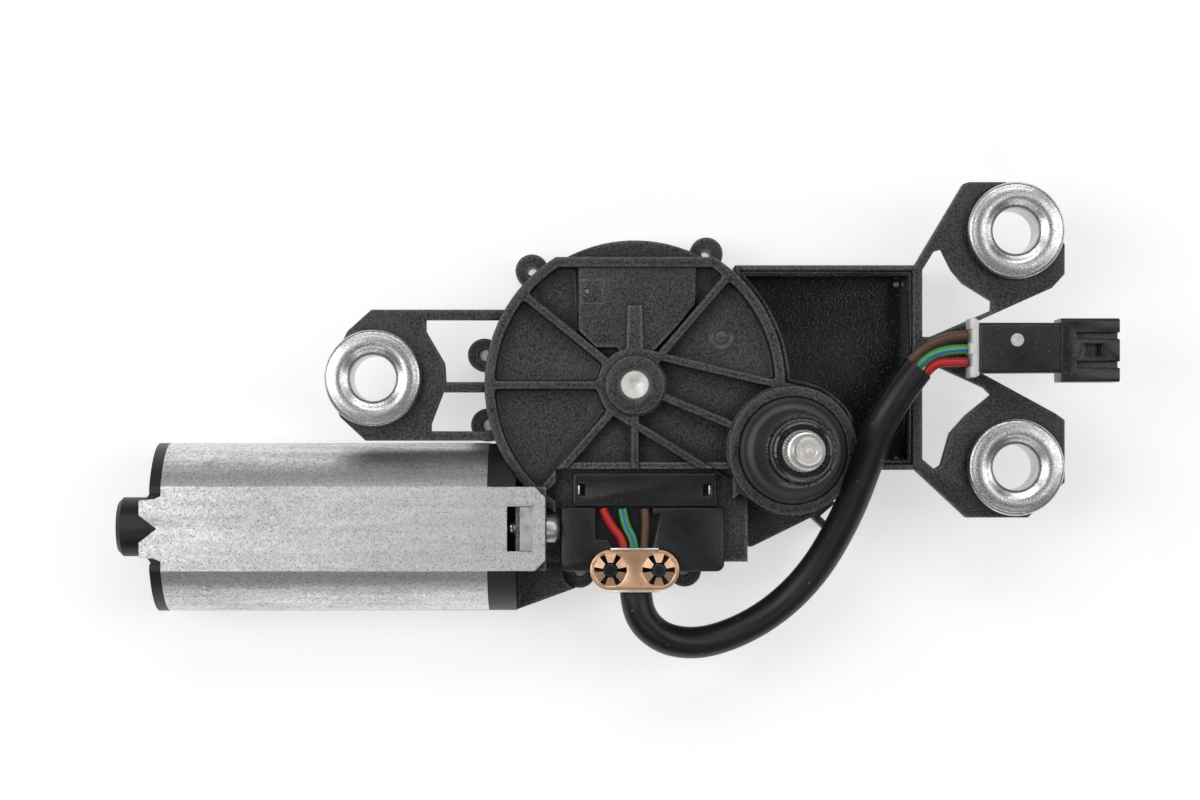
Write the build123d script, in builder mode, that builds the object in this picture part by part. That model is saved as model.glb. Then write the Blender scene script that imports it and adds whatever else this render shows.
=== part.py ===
from build123d import *
from math import atan2, cos, degrees, pi, radians, sin
import os

os.makedirs("parts", exist_ok=True)

# Rear wiper motor, in millimetres. Z is up along the output shaft, X runs along the motor.
# The origin lies on the output shaft's axis, on the surface that the motor lies on.

# Levels above that surface
can_thickness = 37.0
axis_z = can_thickness / 2
cover_floor_bottom = 2.2
cover_wall = 2.0
split_z = 10.5
ceiling_z = 24.5
web_thickness = 2.5
rim_height = 4.5
hub_rise = 1.0
arm_top = 29.0
arm_thickness = 4.0
fit_gap = 0.05
soft_gap = 0.3

web_top = ceiling_z + web_thickness
rim_top = web_top + rim_height
hub_top = rim_top + hub_rise
cover_floor_top = cover_floor_bottom + cover_wall

# Gear chamber
wheel_x = -39.3
wheel_y = 16.3
chamber_radius = 37.5
chamber_wall = 2.5
rim_flat_y = 48.2
dome_radius = 36.4
hub_radius = 7.4
rib_width = 2.0
draft_angle = 3

# Worm gear: 62-tooth wheel and single-start worm
tooth_module = 1.0
wheel_teeth = 62
wheel_thickness = 8.0
worm_pitch_radius = 4.7
wheel_pitch_radius = tooth_module * wheel_teeth / 2
motor_y = wheel_y - wheel_pitch_radius - worm_pitch_radius
worm_lead = pi * tooth_module
worm_bore_radius = 5.9

# Output boss
boss_radius = 16.1
boss_step_radius = 13.5
tower_radius = 7.6
tower_top = 64.0
shaft_radius = 5.0

# Motor can
can_radius = 21.25
can_sheet = 1.8
can_rear_x = -156.6
can_front_x = -75.9
tongue_width = 20.8
tongue_end_x = -61.6

# Electronics bay beside the chamber
bay_right = 31.5
bay_left = -14.2
bay_top = 46.3
bay_bottom = -4.9
bay_wall = 1.4
tray_wall = 1.3
tray_floor_z = 12.5
tray_floor = 1.5

# Bracket arms
bushing_left = (-104.5, 18.0)
bushing_top = (55.5, 54.7)
bushing_bottom = (55.5, -4.2)
grommet_seat_radius = 9.0

# Cable entry at the worm block
clamp_x = -39.4
clamp_y = -29.7
cable_radius = 4.0
cable_z = 28.5
cable_start_y = -25.6
saddle_z = cable_z - cable_radius
channel_width = 2 * cable_radius + 0.2

# Linkage under the wheel
output_swing = 50.0
pinion_teeth = 14
sector_teeth = 28
link_length = tooth_module * (pinion_teeth + sector_teeth) / 2
neck_angle = degrees(atan2(-wheel_y, -wheel_x))
line_angle = -52.0
line_x = cos(radians(line_angle))
line_y = sin(radians(line_angle))
link_swing = output_swing / (1 + sector_teeth / pinion_teeth)
sector_x = link_length * line_y
sector_y = -link_length * line_x
crank_radius = link_length * sin(radians(link_swing))
crank_x = wheel_x + crank_radius * line_y
crank_y = wheel_y - crank_radius * line_x

# Outlines that the casting and the cover share
lobe_radius = 4.2
cover_screw_places = [(-77.4, 24.2), (-76.6, 6.4), (-53.2, -30.8), (-26.5, -30.5)]
open_lug_places = [(-65.3, 45.6), (-21.0, 49.9)]
tunnel_end_x = -11.0
block_top_y = -7.0
block_bottom_y = -27.9
block_left_x = -71.0
flange_left_x = can_front_x + 7.0

with BuildSketch() as chamber_circle:
    with Locations((wheel_x, wheel_y)):
        Circle(chamber_radius)

with BuildSketch() as neck_outline:
    with Locations((wheel_x, wheel_y)):
        Circle(hub_radius + 2)
    Circle(boss_radius)
    make_hull()

with BuildSketch() as worm_block_outline:
    with BuildLine():
        Polyline((flange_left_x, block_bottom_y), (tunnel_end_x, block_bottom_y),
                 (tunnel_end_x, block_top_y), (-52, block_top_y),
                 (flange_left_x, 0), close=True)
    make_face()

with BuildSketch() as bay_outline:
    with Locations(((bay_left + bay_right) / 2, (bay_top + bay_bottom) / 2)):
        Rectangle(bay_right - bay_left, bay_top - bay_bottom)

with BuildSketch() as casting_outline:
    with Locations((wheel_x, wheel_y)):
        Circle(dome_radius)
    add(neck_outline.sketch)
    add(worm_block_outline.sketch)
    add(bay_outline.sketch)
    with Locations(*cover_screw_places, *open_lug_places):
        Circle(lobe_radius)

# Bracket arms: flat plates with through openings round each bushing

with BuildSketch() as left_arm:
    with BuildLine():
        Polyline((-66, 35.2), (-105.2, 35.2), (-111.2, 29.8), (-115.0, 22.0), (-115.0, 14.0),
                 (-113.0, 8.3), (-106.6, 2.4), (-66, 2.4), close=True)
    make_face()
    with BuildLine():
        Polyline((-60, 32.6), (-91.5, 32.6), (-91.5, 29.8), (-86.8, 21.7), (-86.5, 17.1), (-60, 17.1), close=True)
    make_face(mode=Mode.SUBTRACT)
    with BuildLine():
        Polyline((-60, 14.5), (-87.2, 14.5), (-90.2, 6.6), (-90.2, 4.8), (-60, 4.8), close=True)
    make_face(mode=Mode.SUBTRACT)
    with Locations(bushing_left):
        Circle(grommet_seat_radius, mode=Mode.SUBTRACT)

with BuildSketch() as top_arm:
    with BuildLine():
        Polyline((30.5, 46), (42.8, 66.6), (44.2, 67.1), (53.5, 67.1), (68.2, 51.6), (68.2, 44.1),
                 (65.0, 40.6), (46.0, 32.1), (46.0, 26.0), (30.5, 26.0), close=True)
    make_face()
    with BuildLine():
        Polyline((32.6, 45.1), (35.5, 49.8), (37.4, 50.3), (40.0, 45.1), (42.8, 41.8), (49.9, 37.4),
                 (49.8, 35.0), (34.5, 28.4), (32.6, 28.4), close=True)
    make_face(mode=Mode.SUBTRACT)
    with Locations(bushing_top):
        Circle(grommet_seat_radius, mode=Mode.SUBTRACT)

with BuildSketch() as bottom_arm:
    with BuildLine():
        Polyline((30.5, -4.7), (43.5, -16.8), (59.0, -16.8), (68.2, -8.0), (68.2, 7.6), (65.8, 9.3),
                 (46.0, 20.1), (46.0, 26.0), (30.5, 26.0), close=True)
    make_face()
    with BuildLine():
        Polyline((36.5, 20.9), (48.0, 15.7), (49.8, 13.9), (43.5, 8.8), (39.5, 4.3), (37.2, -3.7),
                 (35.6, -4.7), (32.6, -2.2), (32.6, 20.9), close=True)
    make_face(mode=Mode.SUBTRACT)
    with Locations(bushing_bottom):
        Circle(grommet_seat_radius, mode=Mode.SUBTRACT)

# Gear housing: one die casting with gear chamber, neck, output tower, bay frame and arms
rib_angles = [180, 141, 49.4, 229, 270]
lug_hole_radius = 1.2
bore_step_radius = 6.0
plateau_top = rim_top - 1.0
neck_floor_z = 25.5
chamber_inner = chamber_radius - chamber_wall
wheel_cavity_radius = chamber_inner - 0.7
worm_bore_left_x = -63.0
worm_bore_right_x = -14.5
shaft_bush_wall = 1.0
shaft_bush_radius = shaft_radius + shaft_bush_wall
panel_edge_y = -4.6
can_screw_radius = 2.4
can_screw_z = 31.5
nut_right_x = -64.6
nut_thickness = 3.2
nut_width = 10.8
ear_right_x = -61.3

with BuildPart() as gear_housing:
    with BuildSketch(Plane.XY.offset(split_z)):
        add(casting_outline.sketch)
    extrude(amount=tray_floor_z - split_z)
    # chamber drum, with its low dome behind the flat of the rim
    with BuildSketch(Plane.XY.offset(tray_floor_z)):
        with Locations((wheel_x, wheel_y)):
            Circle(dome_radius)
    extrude(amount=web_top - 1 - tray_floor_z)
    with BuildSketch(Plane.XY.offset(tray_floor_z)) as drum:
        add(chamber_circle.sketch)
        with Locations((wheel_x, rim_flat_y)):
            Rectangle(4 * chamber_radius, chamber_radius, align=(Align.CENTER, Align.MIN), mode=Mode.SUBTRACT)
    extrude(amount=rim_top - tray_floor_z)
    # worm block, neck and output boss
    with BuildSketch(Plane.XY.offset(tray_floor_z)):
        add(worm_block_outline.sketch)
    extrude(amount=web_top - tray_floor_z)
    with BuildSketch(Plane.XY.offset(tray_floor_z)):
        add(neck_outline.sketch)
    extrude(amount=rim_top - tray_floor_z)
    with BuildSketch(Plane.XY.offset(tray_floor_z)):
        Circle(boss_radius)
    extrude(amount=hub_top - tray_floor_z)
    # bay frame and bracket arms stop at the drum and the boss
    with BuildSketch(Plane.XY.offset(tray_floor_z)):
        add(bay_outline.sketch)
        offset(bay_outline.sketch, amount=-bay_wall, kind=Kind.INTERSECTION, mode=Mode.SUBTRACT)
    extrude(amount=arm_top - tray_floor_z)
    with BuildSketch(Plane.XY.offset(arm_top - arm_thickness)):
        add(left_arm.sketch)
        add(top_arm.sketch)
        add(bottom_arm.sketch)
    extrude(amount=arm_thickness)
    # screw lobes stand a little way up the drum and the block
    with BuildSketch(Plane.XY.offset(tray_floor_z)):
        with Locations(*cover_screw_places, *open_lug_places):
            Circle(lobe_radius)
    extrude(amount=4)
    # the panel inside the rim is lower than the rim
    with BuildSketch(Plane.XY.offset(web_top)) as panel:
        with Locations((wheel_x, wheel_y)):
            Circle(chamber_inner)
        with Locations((wheel_x, rim_flat_y - chamber_wall)):
            Rectangle(4 * chamber_radius, chamber_radius, align=(Align.CENTER, Align.MIN), mode=Mode.SUBTRACT)
        add(neck_outline.sketch, mode=Mode.SUBTRACT)
    extrude(amount=rim_height, mode=Mode.SUBTRACT)
    # neck pockets either side of its middle rib
    with BuildSketch(Plane.XY.offset(neck_floor_z)) as neck_pocket:
        offset(neck_outline.sketch, amount=-rib_width)
        with Locations((0, 0)):
            Circle(boss_radius + 0.5, mode=Mode.SUBTRACT)
        with Locations((wheel_x, wheel_y)):
            Circle(hub_radius + 0.5, mode=Mode.SUBTRACT)
        with Locations(Location((wheel_x / 2, wheel_y / 2), neck_angle)):
            Rectangle(2 * boss_radius + 2 * link_length, rib_width, mode=Mode.SUBTRACT)
    extrude(amount=rim_top - neck_floor_z, mode=Mode.SUBTRACT)
    # hub, ribs and raised plateau
    with BuildSketch(Plane.XY.offset(web_top - 1)):
        with Locations((wheel_x, wheel_y)):
            Circle(hub_radius)
    extrude(amount=hub_top - web_top + 1)
    with BuildSketch(Plane.XY.offset(web_top - 1)) as ribs:
        for angle in rib_angles:
            with Locations(Location((wheel_x, wheel_y), angle)):
                Rectangle(chamber_inner + 1, rib_width, align=(Align.MIN, Align.CENTER))
        with Locations((wheel_x, wheel_y)):
            Circle(chamber_inner + 1, mode=Mode.INTERSECT)
    extrude(amount=rim_height + 1)
    with BuildSketch(Plane.XY.offset(web_top - 1)):
        with BuildLine():
            Polyline((-53.7, 46), (-53.7, 30), (-49, 25.5), (-44, 25.5), (-41.2, 23), (-37.4, 23),
                     (-34, 25.1), (-27, 32.5), (-23.8, 36.5), (-23.8, 47.5), (-53.7, 47.5), close=True)
        make_face()
    extrude(amount=plateau_top - web_top + 1, taper=draft_angle)
    with BuildSketch(Plane.XY.offset(plateau_top - 1)):
        with Locations((wheel_x, wheel_y + hub_radius - 0.5)):
            Trapezoid(4.4, 13, 88, align=(Align.CENTER, Align.MIN))
    extrude(amount=1.8)
    # step round the foot of the shaft's boot, and the bearing tower
    with BuildSketch(Plane.XY.offset(hub_top - 1.2)):
        Circle(boss_step_radius)
    extrude(amount=1.2, mode=Mode.SUBTRACT)
    with BuildSketch(Plane.XY.offset(hub_top - 2)):
        Circle(tower_radius)
    extrude(amount=tower_top - hub_top + 2)
    # open chamber below the panel
    with BuildSketch(Plane.XY.offset(split_z)):
        with Locations((wheel_x, wheel_y)):
            Circle(wheel_cavity_radius)
    extrude(amount=ceiling_z - split_z, mode=Mode.SUBTRACT)
    with BuildSketch(Plane.XY.offset(ceiling_z - 1)):
        with Locations((wheel_x, wheel_y)):
            Circle(5)
            Circle(3.75, mode=Mode.SUBTRACT)
    extrude(amount=1)
    # bottom edge of the panel, clear for the terminal cover below it
    with BuildSketch(Plane.XY.offset(web_top)):
        with Locations((-37, panel_edge_y)):
            Rectangle(44, 40, align=(Align.CENTER, Align.MAX))
        Circle(boss_radius, mode=Mode.SUBTRACT)
    extrude(amount=hub_top - web_top, mode=Mode.SUBTRACT)
    with BuildSketch(Plane.XY.offset(web_top - 1)):
        with Locations((-36.5, panel_edge_y)):
            Rectangle(41, 1.6, align=(Align.CENTER, Align.MIN))
    extrude(amount=rim_height)
    # front flange between the can's tongues, with pockets for the square nuts
    with BuildSketch(Plane.YZ.offset(flange_left_x)):
        with Locations((motor_y, axis_z)):
            Rectangle(tongue_width, can_thickness - 2 * can_sheet - 2 * fit_gap)
    extrude(amount=ear_right_x - flange_left_x)
    for screw_z in (can_screw_z, can_thickness - can_screw_z):
        with BuildSketch(Plane.YZ.offset(nut_right_x - nut_thickness - fit_gap)):
            with Locations((motor_y, screw_z)):
                Rectangle(nut_width + 0.1, nut_width + 0.1)
        extrude(amount=nut_thickness + 2 * fit_gap, mode=Mode.SUBTRACT)
        with BuildSketch(Plane.YZ.offset(flange_left_x)):
            with Locations((motor_y, screw_z)):
                Circle(can_screw_radius + 0.1)
        extrude(amount=ear_right_x - flange_left_x, mode=Mode.SUBTRACT)
    # channel for the end of the cable
    with BuildSketch(Plane.XY.offset(saddle_z)):
        with Locations((clamp_x, block_bottom_y)):
            Rectangle(channel_width, cable_start_y - block_bottom_y + 0.1, align=(Align.CENTER, Align.MIN))
    extrude(amount=rim_height, mode=Mode.SUBTRACT)
    # worm bore, bearing seat, pin bore and shaft bores
    with BuildSketch(Plane.YZ.offset(worm_bore_left_x)):
        with Locations((motor_y, axis_z)):
            Circle(worm_bore_radius)
    extrude(amount=worm_bore_right_x - worm_bore_left_x, mode=Mode.SUBTRACT)
    with BuildSketch(Plane.YZ.offset(flange_left_x)):
        with Locations((motor_y, axis_z)):
            Circle(3.6)
    extrude(amount=worm_bore_left_x - flange_left_x, mode=Mode.SUBTRACT)
    with BuildSketch(Plane.YZ.offset(flange_left_x)):
        with Locations((motor_y, axis_z)):
            Circle(bore_step_radius)
    extrude(amount=3.5, mode=Mode.SUBTRACT)
    with BuildSketch(Plane.XY.offset(ceiling_z - 1)):
        with Locations((wheel_x, wheel_y)):
            Circle(3.75)
    extrude(amount=hub_top - ceiling_z + 1, mode=Mode.SUBTRACT)
    with BuildSketch(Plane.XY.offset(split_z)):
        Circle(shaft_bush_radius)
    extrude(amount=tower_top - split_z, mode=Mode.SUBTRACT)
    # inside of the bay, cover screw holes and open lug holes
    with BuildSketch(Plane.XY.offset(split_z)) as bay_inside:
        offset(bay_outline.sketch, amount=-bay_wall, kind=Kind.INTERSECTION)
        with Locations((wheel_x, wheel_y)):
            Circle(chamber_radius, mode=Mode.SUBTRACT)
        add(neck_outline.sketch, mode=Mode.SUBTRACT)
    extrude(amount=arm_top - split_z, mode=Mode.SUBTRACT)
    with BuildSketch(Plane.XY.offset(split_z)):
        with Locations(*open_lug_places):
            Circle(lug_hole_radius)
        with Locations(*cover_screw_places):
            Circle(1.6)
    extrude(amount=8, mode=Mode.SUBTRACT)
gear_housing.part.label = "gear_housing"
export_step(gear_housing.part, "parts/gear_housing.step")

# Back cover: moulded shell that closes the chamber, the linkage and the bay from below
foot_radius = 7.0
shaft_foot_radius = 3.5
shaft_foot_z = 1.5
wing_top = 20.0
wing_edge_y = motor_y - tongue_width / 2 - 0.1
wedge_top = 14.0
screw_shank_radius = 1.5
screw_head_radius = 2.9

with BuildSketch() as linkage_wedge:
    with BuildLine():
        Polyline((-14.2, -24.6), (-9.2, -24.6), (6.2, -17.0), (9, -13), (0, -5), (-11, -10), close=True)
    make_face()

cover_left_x = -57.4

with BuildSketch() as cover_outline:
    add(casting_outline.sketch)
    add(linkage_wedge.sketch)
    with Locations((cover_left_x, -6)):
        Rectangle(40, 60, align=(Align.MAX, Align.MAX), mode=Mode.SUBTRACT)

with BuildPart() as back_cover:
    with BuildSketch(Plane.XY.offset(cover_floor_bottom)):
        add(cover_outline.sketch)
    extrude(amount=split_z - cover_floor_bottom)
    with BuildSketch(Plane.XY.offset(cover_floor_top)) as cover_inside:
        offset(cover_outline.sketch, amount=-cover_wall)
        with Locations(*cover_screw_places, *open_lug_places):
            Circle(lobe_radius, mode=Mode.SUBTRACT)
    extrude(amount=split_z - cover_floor_top, mode=Mode.SUBTRACT)
    # wedge beside the output boss, with the small hook at its tip
    with BuildSketch(Plane.XY.offset(split_z)):
        add(linkage_wedge.sketch)
        Circle(boss_radius + fit_gap, mode=Mode.SUBTRACT)
        add(casting_outline.sketch, mode=Mode.SUBTRACT)
    extrude(amount=wedge_top - split_z)
    with BuildSketch(Plane.XY.offset(cover_floor_bottom)):
        with BuildLine():
            Polyline((6.0, -17.2), (9.6, -20.6), (10.8, -19.2), (8.2, -16.8), (12.2, -13.4), (10.4, -12.4), close=True)
        make_face()
    extrude(amount=wedge_top - cover_floor_bottom)
    # wing that shields the brush box
    with BuildSketch(Plane.XY.offset(cover_floor_bottom)):
        with BuildLine():
            Polyline((flange_left_x + 0.1, -40.2), (-54.0, -34.8), (-50.4, -32.9), (-50.4, block_bottom_y - fit_gap),
                     (ear_right_x + 0.1, block_bottom_y - fit_gap), (ear_right_x + 0.1, wing_edge_y),
                     (flange_left_x + 0.1, wing_edge_y), close=True)
        wing = make_face()
    extrude(amount=split_z - cover_floor_bottom)
    with BuildSketch(Plane.XY.offset(split_z)):
        add(wing)
        with Locations(cover_screw_places[2]):
            Circle(lobe_radius + fit_gap, mode=Mode.SUBTRACT)
    extrude(amount=wing_top - split_z)
    # feet on the surface that the motor lies on
    with BuildSketch():
        Circle(foot_radius)
        with Locations((-64, 34), (24, 39), (24, 2)):
            Circle(3)
    extrude(amount=cover_floor_bottom)
    # stiffening ribs under the floor
    with BuildSketch(Plane.XY.offset(cover_floor_bottom - 1)):
        with Locations((wheel_x, wheel_y)):
            Circle(26)
            Circle(24.5, mode=Mode.SUBTRACT)
            Circle(12)
            Circle(10.5, mode=Mode.SUBTRACT)
        for angle in range(0, 360, 45):
            with Locations(Location((wheel_x, wheel_y), angle)):
                with Locations((18, 0)):
                    Rectangle(14, 1.4)
    extrude(amount=1)
    # step for the shaft's foot, screw holes and open lug holes
    with BuildSketch(Plane.XY.offset(cover_floor_top)):
        Circle(4.6)
    extrude(amount=0.3)
    with BuildSketch(Plane.XY.offset(shaft_foot_z)):
        Circle(shaft_foot_radius + fit_gap)
    extrude(amount=split_z - shaft_foot_z, mode=Mode.SUBTRACT)
    with BuildSketch(Plane.XY.offset(cover_floor_bottom)):
        with Locations(*cover_screw_places):
            Circle(screw_shank_radius + 0.1)
        with Locations(*open_lug_places):
            Circle(lug_hole_radius)
    extrude(amount=split_z - cover_floor_bottom, mode=Mode.SUBTRACT)
back_cover.part.label = "back_cover"
export_step(back_cover.part, "parts/back_cover.step")

# Electronics tray: trough that lines the bay, over the circuit board
board_z = 7.0
board_thickness = 1.6

with BuildSketch() as tray_outline:
    offset(bay_outline.sketch, amount=-bay_wall - fit_gap, kind=Kind.INTERSECTION)
    with Locations((wheel_x, wheel_y)):
        Circle(chamber_radius + fit_gap, mode=Mode.SUBTRACT)
    offset(neck_outline.sketch, amount=fit_gap, mode=Mode.SUBTRACT)
tray_face = tray_outline.sketch.faces().sort_by(SortBy.AREA)[-1]

with BuildPart() as electronics_tray:
    with BuildSketch(Plane.XY.offset(tray_floor_z)):
        add(tray_face)
    extrude(amount=arm_top - 0.5 - tray_floor_z)
    with BuildSketch(Plane.XY.offset(tray_floor_z + tray_floor)):
        offset(tray_face, amount=-tray_wall)
    extrude(amount=arm_top, mode=Mode.SUBTRACT)
electronics_tray.part.label = "electronics_tray"
export_step(electronics_tray.part, "parts/electronics_tray.step")

# Circuit board on four pillars of its own, with its larger components
with BuildPart() as circuit_board:
    with BuildSketch(Plane.XY.offset(board_z)):
        with Locations((18, 24)):
            Rectangle(21, 32)
    extrude(amount=board_thickness)
    with BuildSketch(Plane.XY.offset(board_z + board_thickness)):
        with Locations((13.5, 34)):
            Rectangle(9, 9)
        with Locations((23, 32)):
            Rectangle(5, 8)
        with Locations((15, 19)):
            Rectangle(12, 6)
        with Locations((24, 13)):
            Circle(3)
    extrude(amount=2.2)
    with BuildSketch(Plane.XY.offset(cover_floor_top)):
        with Locations((18, 24)):
            with GridLocations(17, 28, 2, 2):
                Circle(1.5)
    extrude(amount=board_z - cover_floor_top)
circuit_board.part.label = "circuit_board"
export_step(circuit_board.part, "parts/circuit_board.step")

# Motor can: flattened tube with a bolted tongue in front and a forked tab behind, on both flats
def can_profile(inset):
    """Cross-section of the can, drawn inwards by the inset."""
    with BuildSketch() as profile:
        with Locations((motor_y, axis_z)):
            Circle(can_radius - inset)
            Rectangle(2 * can_radius, can_thickness - 2 * inset, mode=Mode.INTERSECT)
    return profile.sketch


window_left_x = -71.0
window_right_x = -64.6
window_width = 11.1
fork_end_x = -162.0
can_length = can_front_x - can_rear_x

with BuildPart() as motor_can:
    with BuildSketch(Plane.YZ.offset(can_rear_x)):
        add(can_profile(0))
        add(can_profile(can_sheet), mode=Mode.SUBTRACT)
    extrude(amount=can_length)
    for level in (0, can_thickness - can_sheet):
        with BuildSketch(Plane.XY.offset(level)):
            with BuildLine():
                Polyline((can_front_x - 1, motor_y - tongue_width / 2), (tongue_end_x - 2.6, motor_y - tongue_width / 2),
                         (tongue_end_x, motor_y - tongue_width / 2 + 2.6),
                         (tongue_end_x, motor_y + tongue_width / 2 - 2.6),
                         (tongue_end_x - 2.6, motor_y + tongue_width / 2),
                         (can_front_x - 1, motor_y + tongue_width / 2), close=True)
            make_face()
            with Locations(((window_left_x + window_right_x) / 2, motor_y)):
                Rectangle(window_right_x - window_left_x, window_width, mode=Mode.SUBTRACT)
            with BuildLine():
                Polyline((can_rear_x + 1, motor_y - 8.5), (can_rear_x - 1.6, motor_y - 7.4), (fork_end_x, motor_y - 7.0),
                         (fork_end_x, motor_y - 3.4), (can_rear_x - 1, motor_y), (fork_end_x, motor_y + 3.4),
                         (fork_end_x, motor_y + 7.0), (can_rear_x - 1.6, motor_y + 7.4),
                         (can_rear_x + 1, motor_y + 8.5), close=True)
            make_face()
        extrude(amount=can_sheet)
motor_can.part.label = "motor_can"
export_step(motor_can.part, "parts/motor_can.step")

# End cap with the boss that holds the rear bearing
cap_rim_left_x = -159.4
cap_boss_left_x = -169.8
cap_boss_radius = 7.5
cap_plug_depth = 6.0
rear_bearing_radius = 5.5
armature_shaft_radius = 3.0
rear_bearing_length = 6.0

with BuildPart() as end_cap:
    with BuildSketch(Plane.YZ.offset(cap_rim_left_x)):
        add(can_profile(0))
    extrude(amount=can_rear_x - cap_rim_left_x)
    with BuildSketch(Plane.YZ.offset(can_rear_x)):
        add(can_profile(can_sheet + fit_gap))
    extrude(amount=cap_plug_depth)
    with BuildSketch(Plane.YZ.offset(cap_boss_left_x)):
        with Locations((motor_y, axis_z)):
            Circle(cap_boss_radius)
    extrude(amount=cap_rim_left_x - cap_boss_left_x)
    chamfer(edges().filter_by(GeomType.CIRCLE).sort_by(Axis.X)[0], 1.2)
    # webs from the boss to the rim
    with BuildSketch(Plane.XY.offset(axis_z - 1)):
        with BuildLine():
            Polyline((cap_rim_left_x, motor_y - 11.4), (-162.2, motor_y - 7), (-162.2, motor_y + 7),
                     (cap_rim_left_x, motor_y + 11.4), close=True)
        make_face()
    extrude(amount=2)
    # slots that the forked tabs of the can are staked into
    for level in (-0.1, can_thickness - can_sheet - fit_gap):
        with BuildSketch(Plane.XY.offset(level)):
            with Locations(((fork_end_x + can_rear_x) / 2, motor_y)):
                Rectangle(can_rear_x - fork_end_x + 0.1, 17.4)
        extrude(amount=can_sheet + fit_gap + 0.1, mode=Mode.SUBTRACT)
    # hollow plug, bearing seat and the driving slot in the boss
    with BuildSketch(Plane.YZ.offset(can_rear_x)):
        with Locations((motor_y, axis_z)):
            Circle(15)
    extrude(amount=cap_plug_depth, mode=Mode.SUBTRACT)
    with BuildSketch(Plane.YZ.offset(can_rear_x - rear_bearing_length)):
        with Locations((motor_y, axis_z)):
            Circle(rear_bearing_radius)
    extrude(amount=rear_bearing_length, mode=Mode.SUBTRACT)
    with BuildSketch(Plane.YZ.offset(cap_boss_left_x)):
        with Locations((motor_y, axis_z)):
            Rectangle(1.6, 5)
    extrude(amount=1.2, mode=Mode.SUBTRACT)
    with BuildSketch(Plane.YZ.offset(can_rear_x - rear_bearing_length - 3)):
        with Locations((motor_y, axis_z)):
            Circle(armature_shaft_radius + 0.5)
    extrude(amount=3.5, mode=Mode.SUBTRACT)
end_cap.part.label = "end_cap"
export_step(end_cap.part, "parts/end_cap.step")

with BuildPart() as rear_bearing:
    with BuildSketch(Plane.YZ.offset(can_rear_x - rear_bearing_length)):
        with Locations((motor_y, axis_z)):
            Circle(rear_bearing_radius)
            Circle(armature_shaft_radius + fit_gap, mode=Mode.SUBTRACT)
    extrude(amount=rear_bearing_length)
rear_bearing.part.label = "rear_bearing"
export_step(rear_bearing.part, "parts/rear_bearing.step")

# Two curved magnets against the round sides of the can
magnet_length = 44.0
magnet_left_x = -147.0
magnet_inner_radius = 15.6
magnet_outer_radius = can_radius - can_sheet

with BuildPart() as can_magnets:
    with BuildSketch(Plane.YZ.offset(magnet_left_x)):
        with Locations((motor_y, axis_z)):
            Circle(magnet_outer_radius)
            Circle(magnet_inner_radius, mode=Mode.SUBTRACT)
            Rectangle(3 * can_radius, 26, mode=Mode.INTERSECT)
    extrude(amount=magnet_length)
can_magnets.part.label = "can_magnets"
export_step(can_magnets.part, "parts/can_magnets.step")

# Armature: shaft with the worm, laminated core, winding and commutator
shaft_rear_x = -164.9
worm_turns = 12
worm_left_x = -61.0
worm_right_x = -17.5
shaft_end_x = -15.0
worm_addendum = 0.9
worm_root_radius = worm_pitch_radius - 1.2
core_left_x = -145.0
core_length = 40.0
core_radius = magnet_inner_radius - 0.8
slot_count = 10

with BuildPart() as armature_shaft:
    with BuildSketch(Plane.YZ.offset(shaft_rear_x)):
        with Locations((motor_y, axis_z)):
            Circle(armature_shaft_radius)
    extrude(amount=shaft_end_x - shaft_rear_x)
    with BuildSketch(Plane.YZ.offset(worm_left_x)):
        with Locations((motor_y, axis_z)):
            Circle(worm_root_radius)
    extrude(amount=worm_right_x - worm_left_x)
    # single-start thread: a thin-flanked tooth swept along the lead
    thread_start = Vector(wheel_x - (worm_turns / 2 + 0.25) * worm_lead, motor_y, axis_z)
    with BuildLine():
        thread_path = Helix(pitch=worm_lead, height=worm_turns * worm_lead, radius=worm_root_radius,
                            center=thread_start, direction=(1, 0, 0))
    with BuildSketch(Plane(origin=thread_path @ 0, x_dir=(thread_path @ 0) - thread_start, z_dir=thread_path % 0)):
        with BuildLine():
            Polyline((-0.3, -0.85), (worm_pitch_radius + worm_addendum - worm_root_radius, -0.28),
                     (worm_pitch_radius + worm_addendum - worm_root_radius, 0.28), (-0.3, 0.85), close=True)
        make_face()
    sweep(path=thread_path, is_frenet=True)
armature_shaft.part.label = "armature_shaft"
export_step(armature_shaft.part, "parts/armature_shaft.step")

with BuildPart() as armature_core:
    with BuildSketch(Plane.YZ.offset(core_left_x)):
        with Locations((motor_y, axis_z)):
            Circle(core_radius)
            Circle(armature_shaft_radius, mode=Mode.SUBTRACT)
            with PolarLocations(0, slot_count):
                with Locations((core_radius - 2.6, 0)):
                    SlotOverall(5.2, 3.2, mode=Mode.SUBTRACT)
                with Locations((core_radius, 0)):
                    Rectangle(3, 1.2, mode=Mode.SUBTRACT)
    extrude(amount=core_length)
armature_core.part.label = "armature_core"
export_step(armature_core.part, "parts/armature_core.step")

# Winding: copper bundles in the slots and an end turn bulge at each face of the core
with BuildPart() as armature_winding:
    with BuildSketch(Plane.YZ.offset(core_left_x - 1)):
        with Locations((motor_y, axis_z)):
            with PolarLocations(core_radius - 2.7, slot_count):
                SlotOverall(4.6, 2.6)
    extrude(amount=core_length + 2)
    for end_x in (core_left_x - 6, core_left_x + core_length):
        with BuildSketch(Plane.YZ.offset(end_x)):
            with Locations((motor_y, axis_z)):
                Circle(core_radius - 0.6)
                Circle(armature_shaft_radius + 1, mode=Mode.SUBTRACT)
        extrude(amount=6)
armature_winding.part.label = "armature_winding"
export_step(armature_winding.part, "parts/armature_winding.step")

commutator_left_x = core_left_x + core_length + 6.5
commutator_length = 11.0
commutator_radius = 8.0

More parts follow.
